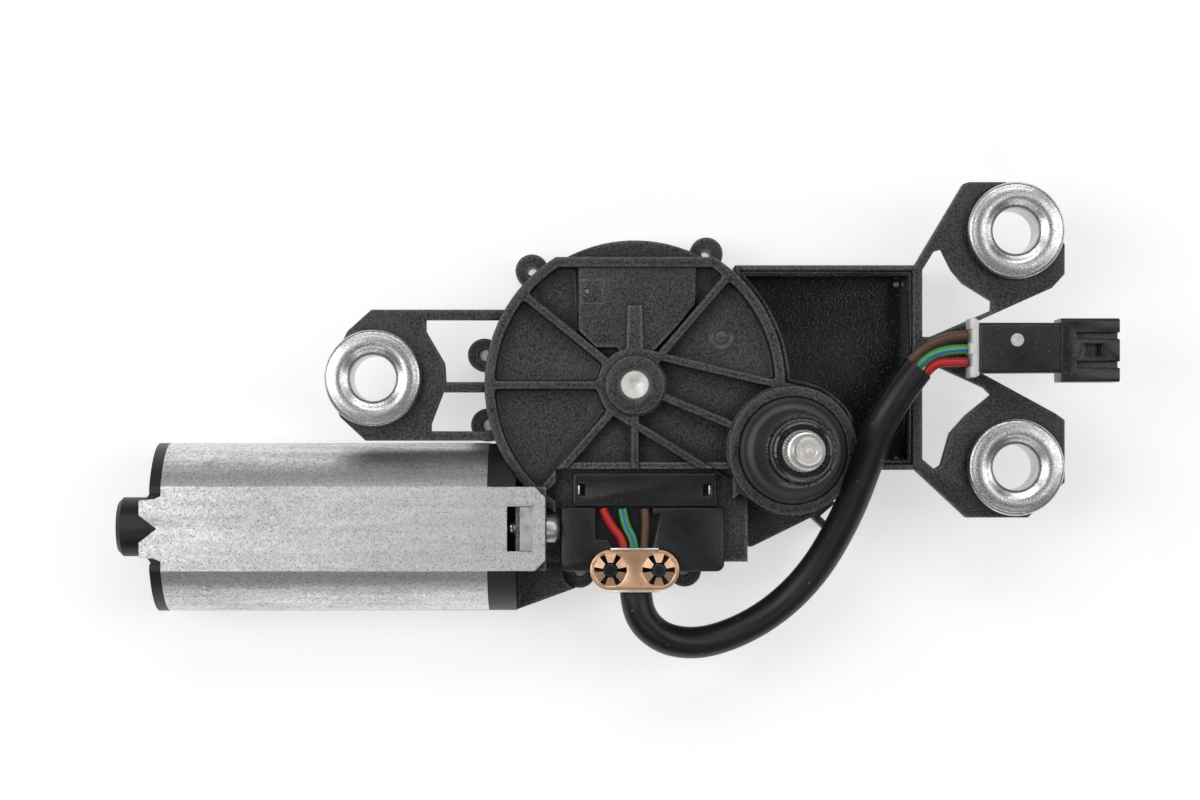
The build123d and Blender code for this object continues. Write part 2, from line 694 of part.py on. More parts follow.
with BuildPart() as commutator:
    with BuildSketch(Plane.YZ.offset(commutator_left_x)):
        with Locations((motor_y, axis_z)):
            Circle(commutator_radius)
            Circle(armature_shaft_radius, mode=Mode.SUBTRACT)
            with PolarLocations(0, slot_count):
                with Locations((commutator_radius, 0)):
                    Rectangle(2.4, 0.5, mode=Mode.SUBTRACT)
    extrude(amount=commutator_length)
commutator.part.label = "commutator"
export_step(commutator.part, "parts/commutator.step")

# Brush holder: plate against the casting, with a ring that reaches into the can
brush_plate_right_x = flange_left_x
brush_ring_left_x = commutator_left_x + 1
brush_width = 5.0
brush_height = 4.0
brush_inner = commutator_radius + 0.1
brush_outer = 13.0
brush_middle_x = commutator_left_x + commutator_length / 2

with BuildPart() as brush_holder:
    with BuildSketch(Plane.YZ.offset(can_front_x)):
        add(can_profile(0.15))
    extrude(amount=brush_plate_right_x - can_front_x)
    with BuildSketch(Plane.YZ.offset(brush_ring_left_x)):
        add(can_profile(can_sheet + 0.1))
        with Locations((motor_y, axis_z)):
            Circle(15.5, mode=Mode.SUBTRACT)
    extrude(amount=can_front_x - brush_ring_left_x)
    # boxes for the two brushes
    with BuildSketch(Plane.YZ.offset(brush_ring_left_x)):
        with Locations((motor_y, axis_z)):
            Rectangle(34, brush_height + 2.4)
            Circle(commutator_radius + 0.8, mode=Mode.SUBTRACT)
    extrude(amount=can_front_x - brush_ring_left_x)
    for side in (-1, 1):
        with BuildSketch(Plane.YZ.offset(brush_middle_x - brush_width / 2 - 0.1)):
            with Locations((motor_y + side * (commutator_radius + 4.6), axis_z)):
                Rectangle(10, brush_height + 0.2)
        extrude(amount=brush_width + 0.2, mode=Mode.SUBTRACT)
    # passage for the armature shaft and its bearing
    with BuildSketch(Plane.YZ.offset(can_front_x)):
        with Locations((motor_y, axis_z)):
            Circle(bore_step_radius)
    extrude(amount=brush_plate_right_x - can_front_x, mode=Mode.SUBTRACT)
    # slots for the can's tongues
    for level in (-1, can_thickness - can_sheet - fit_gap):
        with BuildSketch(Plane.XY.offset(level)):
            with Locations(((can_front_x + brush_plate_right_x) / 2, motor_y)):
                Rectangle(brush_plate_right_x - can_front_x + 0.2, tongue_width + 0.2)
        extrude(amount=can_sheet + fit_gap + 1, mode=Mode.SUBTRACT)
    # clearance for the gear chamber and for the tips of the can's screws
    with BuildSketch():
        with Locations((wheel_x, wheel_y)):
            Circle(chamber_radius + 0.1)
    extrude(amount=can_thickness, mode=Mode.SUBTRACT)
    for screw_z in (can_screw_z, can_thickness - can_screw_z):
        with BuildSketch(Plane.YZ.offset(window_left_x)):
            with Locations((motor_y, screw_z)):
                Rectangle(window_width, window_width)
        extrude(amount=brush_plate_right_x - window_left_x, mode=Mode.SUBTRACT)
brush_holder.part.label = "brush_holder"
export_step(brush_holder.part, "parts/brush_holder.step")

with BuildPart() as carbon_brushes:
    with BuildSketch(Plane.YZ.offset(brush_middle_x - brush_width / 2)):
        for side in (-1, 1):
            with Locations((motor_y + side * (brush_inner + brush_outer) / 2, axis_z)):
                Rectangle(brush_outer - brush_inner, brush_height)
    extrude(amount=brush_width)
    with BuildSketch(Plane.YZ.offset(brush_middle_x - brush_width)):
        with Locations((motor_y, axis_z)):
            Circle(brush_inner)
    extrude(amount=2 * brush_width, mode=Mode.SUBTRACT)
carbon_brushes.part.label = "carbon_brushes"
export_step(carbon_brushes.part, "parts/carbon_brushes.step")

# Front bearing in the mouth of the worm bore
front_bearing_right_x = flange_left_x + 3.5

with BuildPart() as front_bearing:
    with BuildSketch(Plane.YZ.offset(can_front_x + 1)):
        with Locations((motor_y, axis_z)):
            Circle(bore_step_radius)
            Circle(armature_shaft_radius + fit_gap, mode=Mode.SUBTRACT)
    extrude(amount=front_bearing_right_x - can_front_x - 1)
front_bearing.part.label = "front_bearing"
export_step(front_bearing.part, "parts/front_bearing.step")

with BuildPart() as thrust_pad:
    with BuildSketch(Plane.YZ.offset(shaft_end_x + 0.1)):
        with Locations((motor_y, axis_z)):
            Circle(worm_bore_radius - fit_gap)
    extrude(amount=worm_bore_right_x - shaft_end_x - 0.1)
thrust_pad.part.label = "thrust_pad"
export_step(thrust_pad.part, "parts/thrust_pad.step")

# Worm wheel: moulded, its teeth inclined to match the worm's lead, its hub recessed below for the clip
wheel_bottom_z = axis_z - wheel_thickness / 2
wheel_top_z = axis_z + wheel_thickness / 2
lead_angle = degrees(worm_lead / (2 * pi * worm_pitch_radius * wheel_pitch_radius) * wheel_thickness / 2)
wheel_root_radius = wheel_pitch_radius - 1.25 * tooth_module
wheel_tip_radius = wheel_pitch_radius + 0.9 * tooth_module
wheel_pin_radius = 3.75
clip_recess_radius = 6.6
clip_recess_depth = 2.4

with BuildPart() as wheel_tooth:
    for level, turn in ((wheel_bottom_z, -lead_angle), (wheel_top_z, lead_angle)):
        with BuildSketch(Plane.XY.offset(level)):
            with Locations(Rotation(0, 0, turn - 90)):
                Polygon((wheel_root_radius - 0.5, -0.85), (wheel_tip_radius, -0.3), (wheel_tip_radius, 0.3),
                        (wheel_root_radius - 0.5, 0.85), align=None)
    loft(ruled=True)

with BuildPart() as worm_wheel:
    with BuildSketch(Plane.XY.offset(wheel_bottom_z)):
        with Locations((wheel_x, wheel_y)):
            Circle(wheel_root_radius)
    extrude(amount=wheel_thickness)
    with BuildSketch(Plane.XY.offset(wheel_bottom_z)):
        with Locations((wheel_x, wheel_y)):
            Circle(wheel_root_radius - 3)
            Circle(clip_recess_radius + 2, mode=Mode.SUBTRACT)
    extrude(amount=2, mode=Mode.SUBTRACT)
    with BuildSketch(Plane.XY.offset(wheel_bottom_z)):
        with Locations((wheel_x, wheel_y)):
            Circle(clip_recess_radius)
    extrude(amount=clip_recess_depth, mode=Mode.SUBTRACT)
    with BuildSketch(Plane.XY.offset(wheel_bottom_z)):
        with Locations((wheel_x, wheel_y)):
            Circle(wheel_pin_radius + fit_gap)
    extrude(amount=wheel_thickness, mode=Mode.SUBTRACT)
    with Locations((wheel_x, wheel_y)):
        with PolarLocations(0, wheel_teeth):
            add(wheel_tooth.part)
worm_wheel.part.label = "worm_wheel"
export_step(worm_wheel.part, "parts/worm_wheel.step")

contact_disc_thickness = 0.5
with BuildPart() as contact_disc:
    with BuildSketch(Plane.XY.offset(wheel_top_z)):
        with Locations((wheel_x, wheel_y)):
            Circle(20)
            Circle(11, mode=Mode.SUBTRACT)
        with Locations((wheel_x + 17, wheel_y)):
            Rectangle(8, 9, mode=Mode.SUBTRACT)
    extrude(amount=contact_disc_thickness)
contact_disc.part.label = "contact_disc"
export_step(contact_disc.part, "parts/contact_disc.step")

wheel_pin_bottom_z = wheel_bottom_z + 0.4
with BuildPart() as wheel_pin:
    with BuildSketch(Plane.XY.offset(wheel_pin_bottom_z)):
        with Locations((wheel_x, wheel_y)):
            Circle(wheel_pin_radius)
    extrude(amount=hub_top - wheel_pin_bottom_z)
    chamfer(edges().filter_by(GeomType.CIRCLE).group_by(Axis.Z)[-1], 0.4)
wheel_pin.part.label = "wheel_pin"
export_step(wheel_pin.part, "parts/wheel_pin.step")

clip_z = wheel_bottom_z + 1.2
with BuildPart() as wheel_clip:
    with BuildSketch(Plane.XY.offset(clip_z)):
        with Locations((wheel_x, wheel_y)):
            Circle(5.8)
            Circle(wheel_pin_radius, mode=Mode.SUBTRACT)
        with Locations((wheel_x + 4, wheel_y)):
            Rectangle(6, 2.4, mode=Mode.SUBTRACT)
    extrude(amount=0.9)
wheel_clip.part.label = "wheel_clip"
export_step(wheel_clip.part, "parts/wheel_clip.step")

# Linkage: toothed sector on a rod from the crank pin, guide link and output pinion
gear_plane_z = 6.7
gear_thickness = 3.5
gear_top_z = gear_plane_z + gear_thickness
link_z = 4.6
link_thickness = 1.8
sector_pin_radius = 2.2
crank_pin_radius = 2.5
pinion_radius = tooth_module * pinion_teeth / 2
sector_radius = tooth_module * sector_teeth / 2
pinion_seat_radius = 4.0
sector_span = 5
sector_hub_radius = 4.4


def tooth(root_radius, tip_radius):
    """Outline of one spur tooth that points along X, thin enough to leave backlash."""
    with BuildSketch() as outline:
        Polygon((root_radius - 0.6, -0.95), (root_radius + 1.2, -0.6), (tip_radius, -0.25), (tip_radius, 0.25),
                (root_radius + 1.2, 0.6), (root_radius - 0.6, 0.95), align=None)
    return outline.sketch


with BuildPart() as output_pinion:
    with BuildSketch(Plane.XY.offset(gear_plane_z)):
        Circle(pinion_radius - 1.3 * tooth_module)
        with PolarLocations(0, pinion_teeth, start_angle=line_angle - 90):
            add(tooth(pinion_radius - 1.3 * tooth_module, pinion_radius + 0.9 * tooth_module))
        Circle(pinion_seat_radius, mode=Mode.SUBTRACT)
    extrude(amount=gear_thickness)
output_pinion.part.label = "output_pinion"
export_step(output_pinion.part, "parts/output_pinion.step")

crank_angle = degrees(atan2(crank_y - sector_y, crank_x - sector_x))
rod_length = ((crank_x - sector_x) ** 2 + (crank_y - sector_y) ** 2) ** 0.5

with BuildPart() as sector_rod:
    with BuildSketch(Plane.XY.offset(gear_plane_z)):
        with Locations(Location((sector_x, sector_y), crank_angle)):
            Rectangle(rod_length, 7.5, align=(Align.MIN, Align.CENTER))
        with Locations((crank_x, crank_y)):
            Circle(4.8)
        with BuildSketch(mode=Mode.PRIVATE) as toothed_sector:
            Circle(sector_radius - 1.3 * tooth_module)
            with PolarLocations(0, sector_span + 1, start_angle=90 - 2.5 * 360 / sector_teeth,
                                angular_range=sector_span * 360 / sector_teeth + 360 / sector_teeth):
                add(tooth(sector_radius - 1.3 * tooth_module, sector_radius + 0.9 * tooth_module))
            Polygon((0, -3), (9.2, 14.5), (-9.2, 14.5), align=None, mode=Mode.INTERSECT)
            Circle(sector_hub_radius)
        add(toothed_sector.sketch.moved(Location((sector_x, sector_y, 0), (0, 0, line_angle))))
        with Locations((sector_x, sector_y)):
            Circle(sector_pin_radius + fit_gap, mode=Mode.SUBTRACT)
        with Locations((crank_x, crank_y)):
            Circle(crank_pin_radius, mode=Mode.SUBTRACT)
    extrude(amount=gear_thickness)
sector_rod.part.label = "sector_rod"
export_step(sector_rod.part, "parts/sector_rod.step")

with BuildPart() as crank_pin:
    with BuildSketch(Plane.XY.offset(gear_plane_z)):
        with Locations((crank_x, crank_y)):
            Circle(crank_pin_radius)
    extrude(amount=wheel_bottom_z - soft_gap - gear_plane_z)
crank_pin.part.label = "crank_pin"
export_step(crank_pin.part, "parts/crank_pin.step")

with BuildPart() as guide_link:
    with BuildSketch(Plane.XY.offset(link_z)):
        Circle(6)
        with Locations((sector_x, sector_y)):
            Circle(sector_hub_radius - 0.2)
        make_hull()
        Circle(shaft_foot_radius + fit_gap, mode=Mode.SUBTRACT)
        with Locations((sector_x, sector_y)):
            Circle(sector_pin_radius, mode=Mode.SUBTRACT)
    extrude(amount=link_thickness)
guide_link.part.label = "guide_link"
export_step(guide_link.part, "parts/guide_link.step")

with BuildPart() as sector_pin:
    with BuildSketch(Plane.XY.offset(link_z)):
        with Locations((sector_x, sector_y)):
            Circle(sector_pin_radius)
    extrude(amount=gear_top_z - link_z)
sector_pin.part.label = "sector_pin"
export_step(sector_pin.part, "parts/sector_pin.step")

# Output shaft with foot, pinion seat, knurled cone and threaded stud
cone_bottom_z = 70.5
cone_height = 7.0
stud_radius = 4.0
stud_top_z = 87.0

with BuildPart() as output_shaft:
    with BuildSketch(Plane.XZ) as shaft_half:
        with BuildLine():
            Polyline((0, shaft_foot_z), (shaft_foot_radius, shaft_foot_z), (shaft_foot_radius, gear_plane_z),
                     (pinion_seat_radius, gear_plane_z), (pinion_seat_radius, gear_top_z + 0.1),
                     (shaft_radius, gear_top_z + 0.1), (shaft_radius, cone_bottom_z),
                     (shaft_radius - 0.5, cone_bottom_z + cone_height), (stud_radius, cone_bottom_z + cone_height),
                     (stud_radius, stud_top_z - 1), (stud_radius - 1, stud_top_z), (0, stud_top_z), close=True)
        make_face()
    revolve(axis=Axis.Z)
output_shaft.part.label = "output_shaft"
export_step(output_shaft.part, "parts/output_shaft.step")

bush_length = 14.0
with BuildPart() as shaft_bush:
    for level in (gear_top_z + 1.8, tower_top - bush_length):
        with BuildSketch(Plane.XY.offset(level)):
            Circle(shaft_bush_radius)
            Circle(shaft_radius + fit_gap, mode=Mode.SUBTRACT)
        extrude(amount=bush_length)
shaft_bush.part.label = "shaft_bush"
export_step(shaft_bush.part, "parts/shaft_bush.step")

seal_radius = 7.1
seal_height = 4.0
with BuildPart() as shaft_seal:
    with BuildSketch(Plane.XY.offset(tower_top)):
        Circle(seal_radius)
        Circle(shaft_radius + fit_gap, mode=Mode.SUBTRACT)
    extrude(amount=seal_height)
    chamfer(edges().filter_by(GeomType.CIRCLE).group_by(Axis.Z)[-1].sort_by(Edge.length)[-1], 0.8)
shaft_seal.part.label = "shaft_seal"
export_step(shaft_seal.part, "parts/shaft_seal.step")

with BuildPart() as shaft_clip:
    with BuildSketch(Plane.XY.offset(tower_top + seal_height + 0.1)):
        Circle(6.2)
        Circle(shaft_radius, mode=Mode.SUBTRACT)
        with Locations((5, 0)):
            Rectangle(6, 2, mode=Mode.SUBTRACT)
    extrude(amount=0.9)
shaft_clip.part.label = "shaft_clip"
export_step(shaft_clip.part, "parts/shaft_clip.step")

# Rubber boot: round shoulder on the boss, tapering up the tower
boot_shoulder_radius = 12.2
boot_top_z = 60.5
boot_top_radius = 8.6

with BuildPart() as shaft_boot:
    with BuildSketch(Plane.XZ):
        with BuildLine():
            foot = Line((tower_radius + fit_gap, hub_top - 1.2), (boss_step_radius - 0.3, hub_top - 1.2))
            edge = Line(foot @ 1, (boss_step_radius - 0.3, hub_top + 1))
            shoulder = ThreePointArc(edge @ 1, (boot_shoulder_radius - 0.3, hub_top + 3.4),
                                     (boot_shoulder_radius - 2.6, hub_top + 4.2))
            side = Line(shoulder @ 1, (boot_top_radius, boot_top_z - 0.8))
            lip = Line(side @ 1, (boot_top_radius - 0.4, boot_top_z))
            top = Line(lip @ 1, (tower_radius + fit_gap, boot_top_z))
            Line(top @ 1, foot @ 0)
        make_face()
    revolve(axis=Axis.Z)
shaft_boot.part.label = "shaft_boot"
export_step(shaft_boot.part, "parts/shaft_boot.step")

# Three bushings: rubber grommet in each arm, zinc-plated flanged sleeve through it
sleeve_bore_radius = 5.7
sleeve_radius = 7.2
sleeve_bottom_z = 18.5
sleeve_top_z = 33.5
flange_radius = 12.1
flange_sheet = 1.5
grommet_radius = 10.4
grommet_bottom_z = 20.0
flange_under_z = sleeve_top_z - flange_sheet
arm_bottom = arm_top - arm_thickness


def flanged_sleeve(place):
    """Flanged sleeve whose dished flange lies on the grommet."""
    with BuildPart() as sleeve:
        with BuildSketch(Plane.XZ):
            with BuildLine():
                wall = Polyline((sleeve_bore_radius, sleeve_top_z - 2.0), (sleeve_bore_radius, sleeve_bottom_z),
                                (sleeve_radius, sleeve_bottom_z), (sleeve_radius, flange_under_z - 1.6))
                root = RadiusArc(wall @ 1, (sleeve_radius + 1.6, flange_under_z), 1.6)
                under = Line(root @ 1, (flange_radius - 1.2, flange_under_z))
                droop = Line(under @ 1, (flange_radius, flange_under_z - 0.7))
                edge = Line(droop @ 1, (flange_radius, flange_under_z + 0.4))
                crown = ThreePointArc(edge @ 1, (flange_radius - 1.6, sleeve_top_z - 0.1),
                                      (flange_radius - 3.4, sleeve_top_z))
                mouth = RadiusArc(crown @ 1, wall @ 0, -3.6)
            make_face()
        revolve(axis=Axis.Z)
    return sleeve.part.moved(Location((*place, 0)))


def rubber_grommet(place):
    """Grommet with a groove that grips the edge of the arm's hole."""
    with BuildPart() as grommet:
        with BuildSketch(Plane.XZ):
            with BuildLine():
                Polyline((sleeve_radius + fit_gap, grommet_bottom_z), (grommet_radius - 0.8, grommet_bottom_z),
                         (grommet_radius, grommet_bottom_z + 0.8), (grommet_radius, arm_bottom - fit_gap),
                         (grommet_seat_radius - fit_gap, arm_bottom - fit_gap),
                         (grommet_seat_radius - fit_gap, arm_top + fit_gap), (grommet_radius, arm_top + fit_gap),
                         (grommet_radius, flange_under_z - 1), (grommet_radius - 0.6, flange_under_z - fit_gap),
                         (sleeve_radius + 1.8, flange_under_z - fit_gap),
                         (sleeve_radius + fit_gap, flange_under_z - 1.8), close=True)
            make_face()
        revolve(axis=Axis.Z)
    return grommet.part.moved(Location((*place, 0)))


for name, place in (("left", bushing_left), ("top", bushing_top), ("bottom", bushing_bottom)):
    sleeve = flanged_sleeve(place)
    sleeve.label = "mount_sleeve_" + name
    export_step(sleeve, "parts/" + sleeve.label + ".step")
    grommet = rubber_grommet(place)
    grommet.label = "mount_grommet_" + name
    export_step(grommet, "parts/" + grommet.label + ".step")

# Screws and square nuts that hold the can's tongues to the casting
can_screw_tip_x = window_left_x + 0.3
can_screw_head_radius = 3.6
can_screw_head_height = 3.2
screw_levels = (can_screw_z, can_thickness - can_screw_z)

with BuildPart() as can_screws:
    for screw_z in screw_levels:
        with BuildSketch(Plane.YZ.offset(can_screw_tip_x)):
            with Locations((motor_y, screw_z)):
                Circle(can_screw_radius)
        extrude(amount=ear_right_x - can_screw_tip_x)
        with BuildSketch(Plane.YZ.offset(ear_right_x)):
            with Locations((motor_y, screw_z)):
                Circle(can_screw_head_radius)
        extrude(amount=can_screw_head_height)
    fillet(edges().filter_by(GeomType.CIRCLE).group_by(Axis.X)[-1], 1.0)
can_screws.part.label = "can_screws"
export_step(can_screws.part, "parts/can_screws.step")

with BuildPart() as can_nuts:
    for screw_z in screw_levels:
        with BuildSketch(Plane.YZ.offset(nut_right_x - nut_thickness)):
            with Locations((motor_y, screw_z)):
                Rectangle(nut_width, nut_width)
                Circle(can_screw_radius, mode=Mode.SUBTRACT)
        extrude(amount=nut_thickness)
can_nuts.part.label = "can_nuts"
export_step(can_nuts.part, "parts/can_nuts.step")

# Cover screws from below
cover_screw_length = 12.0
cover_screw_head = 2.0

with BuildPart() as cover_screws:
    with BuildSketch(Plane.XY.offset(cover_floor_bottom)):
        with Locations(*cover_screw_places):
            Circle(screw_shank_radius)
    extrude(amount=cover_screw_length)
    with BuildSketch(Plane.XY.offset(cover_floor_bottom - cover_screw_head)):
        with Locations(*cover_screw_places):
            Circle(screw_head_radius)
    extrude(amount=cover_screw_head)
cover_screws.part.label = "cover_screws"
export_step(cover_screws.part, "parts/cover_screws.step")

# Terminal cover with its two latch windows
terminal_cover_left = -54.8
terminal_cover_right = -18.8
terminal_cover_top = -5.6
terminal_cover_bottom = -14.0
terminal_cover_rise = 4.6

with BuildPart() as terminal_cover:
    with BuildSketch(Plane.XY.offset(web_top)):
        with Locations(((terminal_cover_left + terminal_cover_right) / 2, (terminal_cover_top + terminal_cover_bottom) / 2)):
            RectangleRounded(terminal_cover_right - terminal_cover_left, terminal_cover_top - terminal_cover_bottom, 1)
    extrude(amount=terminal_cover_rise)
    fillet(edges().group_by(Axis.Z)[-1], 0.6)
    with BuildSketch(Plane.XY.offset(web_top + 1.2)):
        for window_x in (terminal_cover_left + 2.2, terminal_cover_right - 2.6):
            with Locations((window_x, (terminal_cover_top + terminal_cover_bottom) / 2)):
                Rectangle(1.9, 2.9)
    extrude(amount=terminal_cover_rise, mode=Mode.SUBTRACT)
terminal_cover.part.label = "terminal_cover"
export_step(terminal_cover.part, "parts/terminal_cover.step")

# Terminal box over the worm block, with the saddle and studs for the cable clamp
terminal_box_left = -57.9
terminal_box_right = -17.0
terminal_box_rise = 4.0
box_front_y = -30.2
box_skirt_z = wing_top + fit_gap
stud_spacing = 12.0
stud_width_radius = 1.6
clamp_z = cable_z + cable_radius + 0.1
clamp_sheet = 1.0
stud_height = clamp_z + clamp_sheet + 1.6
lead_radius = 1.1
lead_z = web_top + 2.0 + lead_radius

with BuildPart() as terminal_box:
    with BuildSketch(Plane.XY.offset(web_top)):
        with BuildLine():
            Polyline((terminal_box_left, terminal_cover_bottom - 0.1), (terminal_box_right, terminal_cover_bottom - 0.1),
                     (terminal_box_right, box_front_y), (terminal_box_left, box_front_y), close=True)
        make_face()
        fillet(vertices().group_by(Axis.Y)[0], 2)
    extrude(amount=terminal_box_rise)
    with BuildSketch(Plane.XY.offset(box_skirt_z)):
        with BuildLine():
            Polyline((terminal_box_left, block_bottom_y - fit_gap), (terminal_box_right, block_bottom_y - fit_gap),
                     (terminal_box_right, box_front_y), (terminal_box_left, box_front_y), close=True)
        make_face()
        with Locations(cover_screw_places[2], cover_screw_places[3]):
            Circle(lobe_radius + 0.1, mode=Mode.SUBTRACT)
    extrude(amount=web_top - box_skirt_z)
    # saddle under the cable
    with BuildSketch(Plane.XY.offset(box_skirt_z)):
        with Locations((clamp_x, clamp_y)):
            SlotOverall(22, 10)
        with Locations((clamp_x, block_bottom_y - fit_gap)):
            Rectangle(40, 20, align=(Align.CENTER, Align.MIN), mode=Mode.SUBTRACT)
        with Locations(cover_screw_places[2], cover_screw_places[3]):
            Circle(lobe_radius + 0.1, mode=Mode.SUBTRACT)
    extrude(amount=saddle_z - box_skirt_z)
    with BuildSketch(Plane.XY.offset(saddle_z)):
        with Locations((clamp_x, box_front_y)):
            Rectangle(channel_width, 5.4, align=(Align.CENTER, Align.MIN))
    extrude(amount=terminal_box_rise + 6, mode=Mode.SUBTRACT)
    # recess that the leads cross on their way to the cable
    with BuildSketch(Plane.XY.offset(web_top + 1.4)):
        with BuildLine():
            Polyline((-48.5, -16), (-33, -16), (-34.5, -22), (-35.3, -26), (-43.5, -26), (-46, -22), close=True)
        make_face()
        with Locations((-42, terminal_cover_bottom)):
            Rectangle(14, 8, align=(Align.CENTER, Align.MAX))
    extrude(amount=terminal_box_rise, mode=Mode.SUBTRACT)
    with BuildSketch(Plane.XY.offset(saddle_z - 1)):
        with Locations((clamp_x, clamp_y)):
            with GridLocations(stud_spacing, 1, 2, 1):
                Circle(stud_width_radius)
    extrude(amount=stud_height - saddle_z + 1)
terminal_box.part.label = "terminal_box"
export_step(terminal_box.part, "parts/terminal_box.step")

# Cable clamp: steel plate with turned edges and two star-shaped push-on holes
clamp_length = 22.2
clamp_width = 10.0
clamp_edge_rise = 0.8
star_radius = 4.0
star_teeth = 6

with BuildPart() as cable_clamp:
    with BuildSketch(Plane.XY.offset(clamp_z)):
        with Locations((clamp_x, clamp_y)):
            SlotOverall(clamp_length, clamp_width)
            with GridLocations(stud_spacing, 1, 2, 1):
                Circle(stud_width_radius + fit_gap, mode=Mode.SUBTRACT)
                with PolarLocations(star_radius / 2 + 0.7, star_teeth, start_angle=30):
                    SlotOverall(2.8, 1.1, mode=Mode.SUBTRACT)
    extrude(amount=clamp_sheet)
    with BuildSketch(Plane.XY.offset(clamp_z)):
        with Locations((clamp_x, clamp_y)):
            with GridLocations(1, clamp_width + 0.6, 1, 2):
                Rectangle(12, 0.6)
    extrude(amount=clamp_edge_rise + clamp_sheet)
cable_clamp.part.label = "cable_clamp"
export_step(cable_clamp.part, "parts/cable_clamp.step")


def tube(points, radii, section_radius):
    """Round cord along straight runs and tangent arcs."""
    with BuildPart() as cord:
        with BuildLine():
            path = FilletPolyline(*points, radius=radii)
        with BuildSketch(Plane(origin=path @ 0, z_dir=path % 0)):
            Circle(section_radius)
        sweep(path=path)
    print(round(path.length, 1), "mm long, volume over section times length:",
          round(cord.part.volume / (pi * section_radius ** 2 * path.length), 4))
    return cord.part


def bend_radii(points):
    """Radius of each corner: 0.45 of the shorter run over the tangent of half the turn."""
    radii = []
    for before, corner, after in zip(points, points[1:], points[2:]):
        run_in = Vector(*corner) - Vector(*before)
        run_out = Vector(*after) - Vector(*corner)
        half_turn = radians(run_in.get_angle(run_out)) / 2
        radii.append(0.45 * min(run_in.length, run_out.length) / (sin(half_turn) / cos(half_turn)))
    return radii


# Leads from the terminal cover to the end of the cable, under the clamp
leads = {
    "lead_wire_red": [(-47.3, -14.5, lead_z), (-45.6, -18.4, lead_z), (-42.0, -22.4, lead_z - 0.4),
                      (-42.0, cable_start_y, lead_z - 0.4)],
    "lead_wire_green": [(-42.4, -14.5, lead_z), (-41.8, -18.6, lead_z), (-39.4, -22.4, lead_z - 0.4),
                        (-39.4, cable_start_y, lead_z - 0.4)],
    "lead_wire_brown": [(-36.8, -14.5, lead_z), (-36.5, -18.6, lead_z), (-36.9, -22.4, lead_z - 0.4),
                        (-36.9, cable_start_y, lead_z - 0.4)],
}
for name, route in leads.items():
    lead = tube(route, bend_radii(route), lead_radius)
    lead.label = name
    export_step(lead, "parts/" + name + ".step")

# Sheathed cable: out of the clamp, round in a loop, up over the bay's frame
cable_route = [
    (clamp_x, cable_start_y, cable_z),
    (clamp_x, -35.5, cable_z),
    (-37.4, -43.2, 28.2),
    (-30.6, -48.2, 25.4),
    (-20.0, -48.6, 22.2),
    (-6.0, -42.5, 20.4),
    (5.6, -31.5, 23.0),
    (13.6, -16.6, 29.5),
    (18.2, -3.0, 35.2),
    (22.4, 10.2, 38.2),
    (30.4, 20.4, 38.4),
]
cable_radii = bend_radii(cable_route)
print("cable bend radii", [round(radius, 1) for radius in cable_radii])
cable_sheath = tube(cable_route, cable_radii, cable_radius)
cable_sheath.label = "cable_sheath"
export_step(cable_sheath, "parts/cable_sheath.step")

# Three leads that leave the sheath's end for the connector
seal_left_x = 42.6
wire_radius = 1.15
wire_places = [("cable_wire_brown", -1.2, 2.0, 28.4), ("cable_wire_green", 0.0, 0.0, 25.0), ("cable_wire_red", 1.2, -2.0, 21.8)]
end_run = (Vector(*cable_route[-1]) - Vector(*cable_route[-2])).normalized()
end_side = Vector(-end_run.Y, end_run.X, 0).normalized()
for name, rise, side, seal_y in wire_places:
    start = Vector(*cable_route[-1]) + end_side * side * 1.25
    leave = start + end_run * 3.4
    route = [tuple(start), tuple(leave), (seal_left_x - 4.6, seal_y, start.Z), (seal_left_x, seal_y, start.Z)]
    wire = tube(route, bend_radii(route), wire_radius)
    wire.label = name
    export_step(wire, "parts/" + name + ".step")

# Connector: white seal, body and latched head
connector_z = cable_route[-1][2]
connector_y = 25.2
seal_length = 2.5
body_length = 20.5
head_length = 14.4

with BuildPart() as connector_seal:
    with BuildSketch(Plane.YZ.offset(seal_left_x)):
        with Locations((connector_y, connector_z)):
            RectangleRounded(14.6, 8.6, 1.5)
    extrude(amount=seal_length)
connector_seal.part.label = "connector_seal"
export_step(connector_seal.part, "parts/connector_seal.step")

with BuildPart() as connector:
    with BuildSketch(Plane.YZ.offset(seal_left_x + seal_length)):
        with Locations((connector_y, connector_z)):
            RectangleRounded(12.3, 10, 1)
    extrude(amount=body_length)
    with BuildSketch(Plane.YZ.offset(seal_left_x + seal_length + body_length - 0.8)):
        with Locations((connector_y - 0.6, connector_z)):
            RectangleRounded(15.6, 11.4, 0.8)
    extrude(amount=head_length)
    head_right_x = seal_left_x + seal_length + body_length - 0.8 + head_length
    # slots either side of the latch, and its window
    with BuildSketch(Plane.XY.offset(connector_z + 2.6)):
        for slot_y in (connector_y + 2.9, connector_y - 4.2):
            with Locations((head_right_x, slot_y)):
                Rectangle(10.5, 1.5, align=(Align.MAX, Align.CENTER))
        with Locations((head_right_x - 6.5, connector_y - 0.6)):
            Rectangle(4, 3)
    extrude(amount=4, mode=Mode.SUBTRACT)
    # socket in the mating face
    with BuildSketch(Plane.YZ.offset(head_right_x - 9)):
        with Locations((connector_y - 0.6, connector_z - 1.2)):
            RectangleRounded(12.4, 5.4, 0.6)
    extrude(amount=9, mode=Mode.SUBTRACT)
connector.part.label = "connector"
export_step(connector.part, "parts/connector.step")

